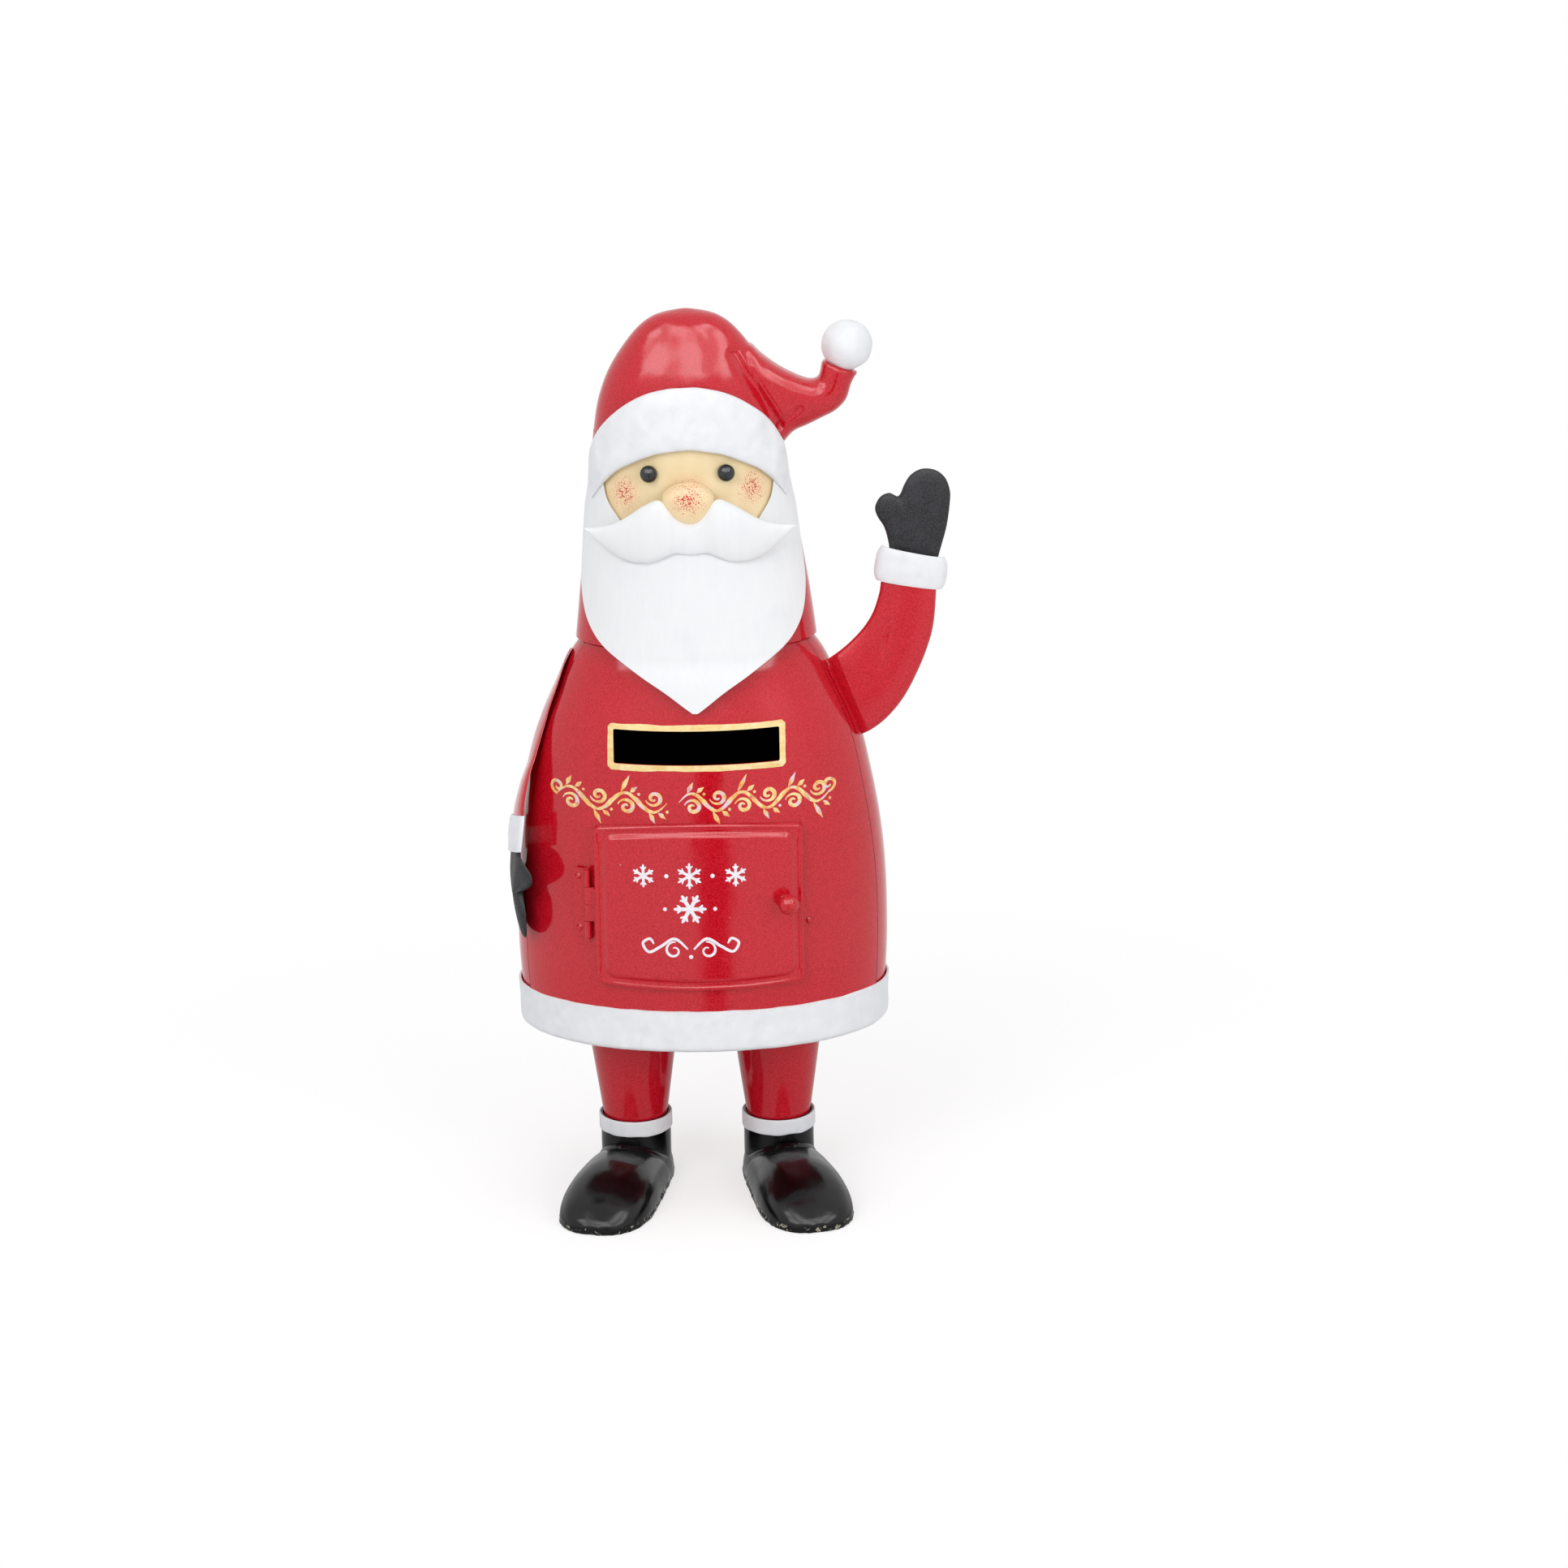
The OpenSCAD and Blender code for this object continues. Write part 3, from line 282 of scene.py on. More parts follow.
def moved(p, way, far):
    return tuple(a + b * far for a, b in zip(p, way))


# ---------------------------------------------------------------- materials

def rgb(r, g, b):
    """Linear colour of an 8-bit screen colour."""
    parts = ((v / 255 / 12.92 if v <= 10 else ((v / 255 + 0.055) / 1.055) ** 2.4) for v in (r, g, b))
    return tuple(parts) + (1.0,)


class Paint:
    """A material with a Principled shader and short calls that add nodes to it."""

    def __init__(self, name, **values):
        self.mat = bpy.data.materials.new(name)
        self.mat.use_nodes = True
        self.tree = self.mat.node_tree
        self.shader = self.tree.nodes["Principled BSDF"]
        for key, value in values.items():
            self.shader.inputs[key.replace("_", " ")].default_value = value
        self.place = self.add("ShaderNodeTexCoord").outputs["Object"]

    def add(self, kind, inputs=(), **settings):
        n = self.tree.nodes.new(kind)
        for key, value in settings.items():
            setattr(n, key, value)
        for key, value in dict(inputs).items():
            if isinstance(value, bpy.types.NodeSocket):
                self.tree.links.new(value, n.inputs[key])
            else:
                n.inputs[key].default_value = value
        return n

    def link(self, socket, target):
        self.tree.links.new(socket, self.shader.inputs[target])

    def stretch(self, scale):
        return self.add("ShaderNodeMapping", {"Vector": self.place, "Scale": scale}).outputs[0]

    def noise(self, scale, detail=2.0, rough=0.5, place=None):
        return self.add("ShaderNodeTexNoise", {"Vector": place or self.place, "Scale": scale,
                                               "Detail": detail, "Roughness": rough}).outputs["Fac"]

    def cells(self, scale, feature="F1", place=None):
        return self.add("ShaderNodeTexVoronoi", {"Vector": place or self.place, "Scale": scale},
                        feature=feature).outputs["Distance"]

    def math(self, kind, a, b=0.0, clamped=False):
        return self.add("ShaderNodeMath", {0: a, 1: b}, operation=kind, use_clamp=clamped).outputs[0]

    def band(self, value, low, high, out_low=0.0, out_high=1.0):
        return self.add("ShaderNodeMapRange", {"Value": value, "From Min": low, "From Max": high,
                                               "To Min": out_low, "To Max": out_high}).outputs[0]

    def mix(self, share, a, b, kind="MIX"):
        n = self.add("ShaderNodeMix", data_type="RGBA", blend_type=kind)
        for key, value in ((0, share), (6, a), (7, b)):
            if isinstance(value, bpy.types.NodeSocket):
                self.tree.links.new(value, n.inputs[key])
            else:
                n.inputs[key].default_value = value
        return n.outputs[2]

    def bump(self, *layers):
        """Layers of (height socket, height in millimetres) as the shader's normal."""
        normal = None
        for height, deep in layers:
            inputs = {"Height": height, "Distance": deep * MM, "Strength": 1.0}
            if normal:
                inputs["Normal"] = normal
            normal = self.add("ShaderNodeBump", inputs).outputs[0]
        self.link(normal, "Normal")

    def specks(self, cells_per_metre, size, share):
        """Mask of small spots: one in some of the cells."""
        v = self.add("ShaderNodeTexVoronoi", {"Vector": self.place, "Scale": cells_per_metre})
        near = self.band(v.outputs["Distance"], size * 0.6, size, 1.0, 0.0)
        picked = self.math("GREATER_THAN", self.add("ShaderNodeSeparateColor",
                           {"Color": v.outputs["Color"]}).outputs[0], 1 - share)
        return self.math("MULTIPLY", near, picked)


def enamel(name, base, light, dark, low, high):
    """Glossy sprayed enamel with orange peel, faint clouds and dust specks."""
    p = Paint(name, Roughness=low, Specular_IOR_Level=0.5)
    clouds = p.noise(22, 3)
    grain = p.noise(1300, 1)
    colour = p.mix(p.band(clouds, 0.3, 0.7), dark, base)
    colour = p.mix(p.band(grain, 0.36, 0.64), colour, light)
    colour = p.mix(p.math("MULTIPLY", p.specks(95, 0.035, 0.16), 0.8), colour, rgb(236, 190, 190))
    p.link(colour, "Base Color")
    p.link(p.band(p.noise(60, 4), 0.3, 0.75, low, high), "Roughness")
    p.bump((p.noise(38, 2), 0.35), (p.noise(420, 2), 0.012))
    return p.mat


def red_enamel():
    return enamel("red_enamel", rgb(188, 3, 24), rgb(206, 28, 46), rgb(180, 2, 20), 0.09, 0.17)


def sleeve_red():
    """The same red, drier on the raised sleeve."""
    return enamel("red_enamel_dry", rgb(190, 3, 25), rgb(210, 32, 50), rgb(180, 2, 20), 0.27, 0.36)


def painted_shade_dark():
    """Near-black paint inside the tin: painted shade, so that the inside seen through the slot and the door's
    opening stays dark; it also paints the shade along the body's seam.
    """
    p = Paint("inside_painted_shade", Roughness=0.85, Specular_IOR_Level=0.15)
    p.link(p.mix(p.noise(180, 3), rgb(10, 9, 9), rgb(26, 22, 21)), "Base Color")
    p.bump((p.noise(900, 2), 0.01))
    return p.mat


def hammered_white():
    """Thick off-white enamel over hammered dents, with grey painted in as the shade of the dents."""
    p = Paint("white_enamel", Roughness=0.45, Specular_IOR_Level=0.16)
    # Cells whose edges are painted grey, as the shade of hammered dents
    dent_shade = p.band(p.cells(150, "SMOOTH_F1"), 0.1, 0.62)
    patches = p.noise(120, 4, 0.6)
    colour = p.mix(p.band(dent_shade, 0.0, 1.0, 0.0, 0.5), rgb(238, 240, 243), rgb(228, 230, 234))
    colour = p.mix(p.band(patches, 0.52, 0.78, 0.0, 0.45), colour, rgb(216, 219, 223))
    colour = p.mix(p.math("MULTIPLY", p.specks(120, 0.04, 0.05), 0.75), colour, rgb(96, 84, 84))
    p.link(colour, "Base Color")
    p.link(p.band(patches, 0.3, 0.7, 0.34, 0.5), "Roughness")
    p.bump((p.noise(170, 3), 0.16), (p.noise(900, 2), 0.012))
    return p.mat


def brushed_white():
    """Satin white brushed downwards over faint ridges."""
    p = Paint("brushed_white", Roughness=0.6, Specular_IOR_Level=0.12)
    streaks = p.noise(1.0, 4, 0.6, p.stretch((420, 420, 26)))
    ridges = p.noise(1.0, 2, 0.5, p.stretch((70, 60, 16)))
    colour = p.mix(p.band(streaks, 0.35, 0.7, 0.0, 0.3), rgb(240, 241, 243), rgb(231, 233, 236))
    colour = p.mix(p.band(p.noise(70, 3), 0.55, 0.8, 0.0, 0.25), colour, rgb(224, 226, 230))
    p.link(colour, "Base Color")
    p.link(p.band(streaks, 0.3, 0.7, 0.52, 0.66), "Roughness")
    p.bump((ridges, 0.08), (streaks, 0.012))
    return p.mat


def gold_paint():
    """Hand-painted pale gold, thin in places, with light and dark brush strokes; the light strokes and pale
    spots are partly brush tone and partly painted highlights.
    """
    p = Paint("gold_paint", Roughness=0.38, Specular_IOR_Level=0.5)
    strokes = p.noise(1.0, 4, 0.6, p.stretch((150, 150, 420)))
    # Light stroke tone and pale spots: partly brush tone, partly painted highlights
    colour = p.mix(p.band(strokes, 0.35, 0.6), rgb(236, 200, 130), rgb(246, 220, 158))
    colour = p.mix(p.band(p.noise(200, 2), 0.52, 0.72, 0.0, 0.6), colour, rgb(253, 238, 196))
    p.link(colour, "Base Color")
    p.bump((strokes, 0.06))
    return p.mat


def script_gold():
    """The same gold laid on thinly, so that red shows through; its light strokes are partly brush tone and
    partly painted highlight, and its pale patches are painted highlights.
    """
    p = Paint("thin_gold_paint", Roughness=0.35, Specular_IOR_Level=0.5)
    strokes = p.noise(1.0, 3, 0.6, p.stretch((330, 200, 120)))
    colour = p.mix(p.band(strokes, 0.4, 0.6), rgb(236, 176, 92), rgb(248, 222, 160))
    # Pale whitish patches: painted highlights
    colour = p.mix(p.band(p.noise(210, 2), 0.54, 0.66), colour, rgb(226, 206, 216))
    colour = p.mix(p.band(p.noise(300, 2), 0.6, 0.72, 0.0, 0.75), colour, rgb(206, 90, 84))
    p.link(colour, "Base Color")
    p.bump((strokes, 0.05))
    return p.mat


def print_white():
    """Opaque white screen print."""
    p = Paint("white_print", Roughness=0.4, Specular_IOR_Level=0.4)
    p.link(p.mix(p.band(p.noise(700, 2), 0.4, 0.7), rgb(246, 243, 248), rgb(232, 226, 238)), "Base Color")
    p.bump((p.noise(800, 2), 0.01))
    return p.mat


# Middles and half-sizes in millimetres of the dotted red patches on the face
BLUSHES = [((-33.0, -28, 370.9), (8.0, 60, 9.6)), ((29.8, -28, 372.8), (8.0, 60, 9.4)),
           ((-1.4, -42, 370.9), (10.2, 60, 9.4))]


def skin_paint():
    """Cream enamel with red dots stippled on the cheeks and the nose."""
    p = Paint("skin_enamel", Roughness=0.36, Specular_IOR_Level=0.4)
    colour = p.mix(p.band(p.noise(90, 3), 0.35, 0.7), rgb(248, 227, 184), rgb(240, 216, 169))
    fades = []
    for middle, half in BLUSHES:
        here = p.add("ShaderNodeMapping", {"Vector": p.place, "Location": to_row(middle),
                                           "Scale": tuple(h * MM for h in half)}, vector_type="TEXTURE")
        far = p.add("ShaderNodeVectorMath", {0: here.outputs[0]}, operation="LENGTH").outputs["Value"]
        fades.append(p.band(far, 0.1, 1.25, 1.0, 0.0))
    fade = p.math("MAXIMUM", p.math("MAXIMUM", fades[0], fades[1]), fades[2])
    colour = p.mix(p.math("MULTIPLY", fade, 0.32), colour, rgb(240, 160, 134))
    uneven = p.math("MULTIPLY", p.math("POWER", fade, 0.75), p.band(p.noise(420, 2), 0.3, 0.7, 0.7, 1.2))
    for scale, reach in ((750, 0.35), (1000, 0.37), (1250, 0.37)):
        dots = p.math("LESS_THAN", p.cells(scale), p.math("MULTIPLY", uneven, reach))
        colour = p.mix(p.math("MULTIPLY", dots, 0.9), colour, rgb(198, 40, 36))
    p.link(colour, "Base Color")
    p.bump((p.noise(240, 3), 0.05), (p.noise(1200, 1), 0.008))
    return p.mat


def bead_black():
    """Glossy black bead."""
    p = Paint("eye_bead", Roughness=0.12, Specular_IOR_Level=0.6)
    p.link(p.mix(p.noise(900, 3), rgb(14, 15, 17), rgb(34, 37, 40)), "Base Color")
    p.link(p.band(p.noise(500, 2), 0.3, 0.7, 0.1, 0.3), "Roughness")
    p.bump((p.noise(700, 2), 0.02))
    return p.mat


def mitten_paint():
    """Flat charcoal spray paint with a fine dry grain."""
    p = Paint("matt_black_paint", Roughness=0.6, Specular_IOR_Level=0.4)
    grain = p.noise(1400, 2)
    colour = p.mix(p.band(grain, 0.36, 0.64), rgb(18, 18, 20), rgb(50, 50, 54))
    colour = p.mix(p.band(p.noise(110, 3), 0.5, 0.75, 0.0, 0.4), colour, rgb(58, 59, 64))
    p.link(colour, "Base Color")
    p.bump((p.noise(130, 2), 0.1), (grain, 0.02))
    return p.mat


# Height up to which the boots are chipped
CHIP_Z = 5.0


def boot_paint():
    """Satin black with brushed-on thickness, rubbed patches, and chips low on the edge."""
    p = Paint("black_enamel", Roughness=0.2, Specular_IOR_Level=0.34)
    rub = p.noise(55, 4, 0.6)
    colour = p.mix(p.band(rub, 0.4, 0.8), rgb(6, 6, 7), rgb(22, 22, 25))
    low = p.band(p.add("ShaderNodeSeparateXYZ", {"Vector": p.place}).outputs["Z"],
                 0.0, CHIP_Z * MM, 1.0, 0.0)
    chips = p.math("MULTIPLY", p.math("GREATER_THAN", p.noise(330, 3, 0.7), 0.6), low)
    chips = p.math("GREATER_THAN", chips, 0.25)
    chips = p.math("MAXIMUM", chips, p.specks(90, 0.05, 0.07))
    colour = p.mix(p.math("MULTIPLY", chips, 0.8), colour, rgb(176, 170, 150))
    p.link(colour, "Base Color")
    p.link(p.band(rub, 0.3, 0.75, 0.13, 0.28), "Roughness")
    p.bump((p.noise(75, 3), 0.28), (p.noise(600, 3), 0.012))
    return p.mat


def bare_metal(name, low, high, rough):
    """Bare rolled metal with fine scratches."""
    p = Paint(name, Metallic=1.0, Roughness=rough)
    lines = p.noise(1.0, 3, 0.6, p.stretch((300, 300, 2600)))
    p.link(p.mix(p.band(lines, 0.3, 0.7), low, high), "Base Color")
    p.link(p.band(p.noise(150, 3), 0.3, 0.7, rough - 0.08, rough + 0.12), "Roughness")
    p.bump((lines, 0.01))
    return p.mat


def ferrite():
    """Grey-black sintered magnet."""
    p = Paint("ferrite", Roughness=0.7, Specular_IOR_Level=0.3)
    p.link(p.mix(p.noise(1200, 3), rgb(30, 30, 32), rgb(58, 58, 61)), "Base Color")
    p.bump((p.noise(1500, 2), 0.02))
    return p.mat


RED, DRY_RED = red_enamel(), sleeve_red()
WHITE, BEARD, SKIN = hammered_white(), brushed_white(), skin_paint()
PAINTED_SHADE, GOLD, THIN_GOLD, PRINT = painted_shade_dark(), gold_paint(), script_gold(), print_white()
BEAD, MITTEN, BOOT = bead_black(), mitten_paint(), boot_paint()
STEEL = bare_metal("bare_steel", rgb(168, 170, 172), rgb(205, 207, 210), 0.32)
MAGNET = ferrite()


# ---------------------------------------------------------------- body

PANEL_STEP = 1.5
# Width in degrees of the front sheet's edge, painted dark as the shade along the seam
SHADED_SEAM_EDGE = 0.32


def panel(name, angles, stand, dark, seed):
    """Closed sheet over the body's oval, a little uneven as pressed tin is. stand gives its height over
    the oval at an angle, and dark says where its outside is painted dark as the shade of a joint."""
    rings = []
    for r, z in body_line:
        ring = []
        for a in angles:
            p = oval(r, z, a, stand(a))
            ring.append(oval(r, z, a, stand(a) + 0.16 * wave(p, 46, seed)))
        rings.append(ring + [oval(r, z, a, stand(a) - SHEET) for a in reversed(angles)])
    verts, faces = loft(rings)
    k = len(angles)
    index = []
    for i in range(len(faces)):
        at = i % (2 * k)
        outside = at < k - 1 and i < (len(rings) - 1) * 2 * k
        # Outside faces where dark is true take the dark second material: a strip painted as the seam's shade
        index.append(0 if outside and not dark((angles[at] + angles[at + 1]) / 2) else 1)
    return mesh_object(name, verts, faces, [RED, PAINTED_SHADE], index, sharp=40)


def body_front():
    n = round((180 - 2 * SEAM_ANGLE) / PANEL_STEP)
    angles = [lerp(180 + SEAM_ANGLE, 360 - SEAM_ANGLE, i / n) for i in range(n + 1)]
    angles = angles[:1] + [angles[0] + SHADED_SEAM_EDGE] + angles[1:-1] + [angles[-1] - SHADED_SEAM_EDGE] + angles[-1:]

    # The front sheet's outside within that width of its edge is painted dark as shade
    def edge(a):
        return min(a - 180, 360 - a) - SEAM_ANGLE < SHADED_SEAM_EDGE

    obj = panel("body_front", angles, lambda a: LAP, edge, 3.1)
    slot = prism(rounded_box(SLOT_W, SLOT_H, SLOT_Z, 0.8, 3), -BODY_W / 2, -20)
    way = prism(rounded_box(DOOR_W - 2 * DOOR_LAP, DOOR_H - 2 * DOOR_LAP, DOOR_Z, 3), -BODY_W / 2, -20)
    cut(obj, slot, way)
    add(obj, ["front_panel"])


def body_back():
    """The back sheet has a narrow joggle where the front sheet's edge ends, painted dark there as shade."""
    half = [-SEAM_ANGLE + t for t in (-LAP_ANGLE, -3, -0.3, 0.05, 0.15, 0.75, 0.95, 1.5)]
    n = round((90 - half[-1]) / PANEL_STEP)
    half += [lerp(half[-1], 90, i / n) for i in range(1, n)]
    angles = half + [90] + [180 - a for a in reversed(half)]

    def past(a):
        return min(a, 180 - a) + SEAM_ANGLE

    # At the joggle the back sheet's outside is painted dark as the seam's shade
    obj = panel("body_back", angles, lambda a: -0.6 if 0.1 < past(a) < 0.8 else -0.08,
                lambda a: -0.5 < past(a) < 0.85, 8.3)
    add(obj, ["back_panel"])


def hem():
    """White band over the body's lower edge, hammered, and curled in under it."""
    steps = [(0, HEM_UP, -0.35), (0, HEM_UP - 0.3, 0)]
    steps += [(0, lerp(HEM_UP - 1.2, 4, i / 12), 0) for i in range(13)]
    steps += [(0, 2.4, 0), (0, 1.2, 0)]
    for i in range(1, 11):
        a = math.radians(9 * i)
        steps.append((-(1 - math.cos(a)), 0.5 - 4 * math.sin(a), 0))
    count = 300
    rings = []
    for k in range(count):
        angle = 360 * k / count
        outer, inner = [], []
        for curl, up, proud in steps:
            z = SKIRT_Z + up
            base = oval(body_r(max(z, SKIRT_Z)), z, angle, 2 * LAP)
            if up > HEM_UP - 1:
                z += 0.45 * wave((base[0], base[1], 0), 11, 5.0)
            hit = 0.34 * dent(base, 9.5, 2.0) * smooth(0, 2, HEM_UP - up) if curl > -0.6 else 0
            swell = 0.25 * wave(base, 30, 4.0) - 0.1
            out = 2 * LAP + HEM_CURL * curl + proud - hit + swell
            outer.append(oval(body_r(max(z, SKIRT_Z)), z, angle, out))
            within = out - SHEET * (1 + 0.3 * curl)
            inner.append(oval(body_r(max(z, SKIRT_Z)), z + (SHEET * -curl), angle, within))
        rings.append(outer + inner[::-1])
    verts, faces = loft(rings, closed=True)
    add(mesh_object("hem_band_white", verts, faces, [WHITE], sharp=50), ["hem_band"])


# ---------------------------------------------------------------- head and hat

HEAD_LEAN = 2.0


def lean(obj):
    """Tips a piece of the head a little to the left, as on the hand-made figure."""
    for v in obj.data.vertices:
        x, z = v.co.x / MM + MIDDLE[0], v.co.z / MM
        tail = smooth(30, 58, x) * smooth(HAT_Z, HAT_Z + 16, z)
        v.co.x -= HEAD_LEAN * MM * smooth(HEAD_Z + 2, HEAD_Z + 110, z) * (1 - tail)


def head_half(name, a0, node, painted):
    """Half of the head's shell. The front half has its face painted."""
    play = 0.12
    angles = [lerp(a0 + play, a0 + 180 - play, i / 120) for i in range(121)]
    line = [p for p in head_line if p[1] < HAT_Z + 1]
    rings = []
    for r, z in line:
        rings.append([oval(r, z, a, 0.12 * wave(oval(r, z, a, 0), 35, 6.0)) for a in angles]
                     + [oval(r, z, a, -SHEET) for a in reversed(angles)])
    verts, faces = loft(rings)
    top = [(x * HEAD_U, HEAD_Z + t * HEAD_H + 4) for x, t in BRIM_LOWER]
    index = []
    for f in faces:
        c = [sum(verts[i][k] for i in f) / len(f) for k in range(3)]
        inside = (c[0] / head_r(c[2])) ** 2 + (c[1] / (head_r(c[2]) * ROUNDNESS)) ** 2 < 0.985
        face = painted and abs(c[0]) < 47 and 345 < c[2] < lookup(abs(c[0]), top)
        index.append(1 if inside else (2 if face else 0))
    obj = mesh_object(name, verts, faces, [RED, PAINTED_SHADE, SKIN], index, sharp=40)
    add(obj, [node])


TAIL = [((0.30, 0.93), (0.62, 0.555), 17), ((0.36, 0.91), (0.72, 0.57), 16),
        ((0.508, 0.897), (0.801, 0.604), 14.5), ((0.61, 0.861), (0.874, 0.631), 13.5),
        ((0.738, 0.823), (0.987, 0.649), 12.5), ((0.874, 0.795), (1.1, 0.67), 11.5),
        ((0.971, 0.783), (1.197, 0.69), 10.5), ((1.037, 0.789), (1.27, 0.723), 10),
        ((1.063, 0.82), (1.311, 0.77), 9.5), ((1.067, 0.842), (1.362, 0.802), 9)]


def share_on_head(p):
    return (p[0] * HEAD_U, 0.0, HEAD_Z + p[1] * HEAD_H)


def tail_ring(s):
    """Boxy ring of the hat's tail at one station: its two edges and its half width."""
    count = 48
    a, b = Vector(share_on_head(s[0:2])), Vector(share_on_head(s[2:4]))
    middle, half = (a + b) / 2, (a - b) / 2
    ring = []
    for i in range(count):
        c, f = math.cos(2 * math.pi * i / count), math.sin(2 * math.pi * i / count)
        ring.append(tuple(middle + half * c + Vector((0, s[4] * math.copysign(abs(f) ** 0.72, f), 0))))
    return ring


def hat():
    """Dome and bent tail as one pressed form with a crease between them, in two halves."""
    dome = [(r, z) for r, z in head_line if z >= HAT_Z - 0.01]
    foot_line = [(dome[0][0] + 0.15, HAT_Z - 1.2), (dome[0][0] + 0.12, HAT_Z)]
    dome = foot_line + dome[1:-1] + [(1.2, HEAD_Z + HEAD_H)]
    verts, faces = loft([[oval(r, z, a, 0) for a in range(0, 360, 3)] for r, z in dome])
    obj = mesh_object("hat", verts, faces, [RED])
    stations = curve([u + d + (w,) for u, d, w in TAIL], 5)
    verts, faces = loft([tail_ring(s) for s in stations])
    tail = mesh_object("tail", verts, faces, [RED])
    mod = obj.modifiers.new("join", "BOOLEAN")
    mod.operation, mod.solver, mod.object = "UNION", "EXACT", tail
    remesh = obj.modifiers.new("skin", "REMESH")
    remesh.mode, remesh.voxel_size = "VOXEL", 1.1 * MM
    soft = obj.modifiers.new("soft", "SMOOTH")
    soft.factor, soft.iterations = 0.5, 5
    settle(obj)
    bpy.data.objects.remove(tail)
    for v in obj.data.vertices:
        v.co = snapped(v.co)
        v.co.y += MM * pressed(v.co)
    halves = {"hat_front": -1, "hat_back": 1}
    for name, side in halves.items():
        bm = bmesh.new()
        bm.from_mesh(obj.data)
        seam = Vector((0, (side * 0.06 - MIDDLE[1]) * MM, 0))
        bmesh.ops.bisect_plane(bm, geom=bm.verts[:] + bm.edges[:] + bm.faces[:], plane_co=seam,
                               plane_no=(0, 1, 0), clear_outer=side < 0, clear_inner=side > 0)
        bmesh.ops.holes_fill(bm, edges=[e for e in bm.edges if e.is_boundary])
        mesh = bpy.data.meshes.new(name + "_shell")
        bm.to_mesh(mesh)
        bm.free()
        mesh.materials.clear()
        mesh.materials.append(RED)
        finish_shading(mesh, 50)
        half = bpy.data.objects.new(name + "_shell", mesh)
        bpy.context.scene.collection.objects.link(half)
        add(half, [name])
    bpy.data.objects.remove(obj)


# Valleys pressed in the front of the hat where its tail bends off: ends, width and depth
VALLEYS = [((24, 437), (46, 400), 2.1, 2.6), ((45, 400), (53, 408), 1.8, 1.2)]


def pressed(co):
    """How far a point of the hat's front is pressed in."""
    x, y, z = (co[k] / MM + MIDDLE[k] for k in range(3))
    if y > -4:
        return 0.0
    deep = 0.0
    for a, b, wide, far in VALLEYS:
        off, _ = from_line((x, z), a, b)
        deep += far * math.exp(-(off / wide) ** 2) * smooth(-4, -10, y)
    return deep + 0.25 * wave((x, y, z), 16, 5.0) * smooth(-4, -10, y)


def snapped(co):
    """Point of the remeshed hat, put back on the dome's true oval away from the tail."""
    x, y, z = (co[k] / MM + MIDDLE[k] for k in range(3))
    if z < HAT_Z + 0.4:
        return co
    r = head_r(z)
    far = math.hypot(x / r, y / (r * ROUNDNESS))
    if r < 14 or far < 0.5:
        return co
    off = abs(far - 1) * r
    weight = 1 - smooth(0.5, 1.3, off)
    goal = Vector(to_row((x / far, y / far, z)))
    return co.lerp(goal, weight)


def pompom():
    """Hammered ball in the mouth of the hat's tail."""
    a, b = Vector(share_on_head(TAIL[-1][0])), Vector(share_on_head(TAIL[-1][1]))
    along = (b - a).normalized()
    way = Vector((-along[2], 0, along[0]))
    rise = math.sqrt((POMPOM_D / 2) ** 2 - (TAIL[-1][2] - SHEET) ** 2) + 2 * SEAT + 0.4
    middle = (a + b) / 2 + way * rise
    bm = bmesh.new()
    bmesh.ops.create_icosphere(bm, subdivisions=5, radius=1)
    verts = []
    for v in bm.verts:
        out = v.co.normalized()
        p = middle + out * POMPOM_D / 2
        verts.append(tuple(p - out * 0.45 * dent(p, 8.5, 7.0) + out * 0.12 * wave(p, 6, 2.0)))
    faces = [tuple(v.index for v in f.verts) for f in bm.faces]
    bm.free()
    add(mesh_object("pompom_ball", verts, faces, [WHITE], sharp=60), ["pompom"])


# Upper and lower edge of the brim from its middle to its end, as shares of the head
BRIM_UPPER = [(0, 0.793), (0.22, 0.785), (0.42, 0.756), (0.59, 0.711), (0.7, 0.662), (0.765, 0.611),
              (0.8, 0.551), (0.82, 0.486)]
BRIM_LOWER = [(0, 0.614), (0.22, 0.604), (0.345, 0.59), (0.465, 0.569), (0.58, 0.545), (0.67, 0.515),
              (0.74, 0.485), (0.795, 0.455)]


def on_head(p, proud):
    z = HEAD_Z + p[1] * HEAD_H
    x = p[0] * HEAD_U
    return (x, head_y(x, z, proud), z)


def bulge(u, power):
    """Height from 0 to 1 across a pressed band, rounded at both edges."""
    return (1 - abs(2 * u - 1) ** power) ** (1 / power)


def band_section(a, b, out, depth, steps, power, shape=None):
    """Closed section from edge a over a rounded top to edge b, and flat back again."""
    top = []
    for i in range(steps + 1):
        u = (1 - math.cos(math.pi * i / steps)) / 2
        p = moved(lerp(a, b, u), out, depth * bulge(u, power))
        top.append(shape(p, out, u) if shape else p)
    return top + [lerp(b, a, i / steps) for i in range(1, steps)]


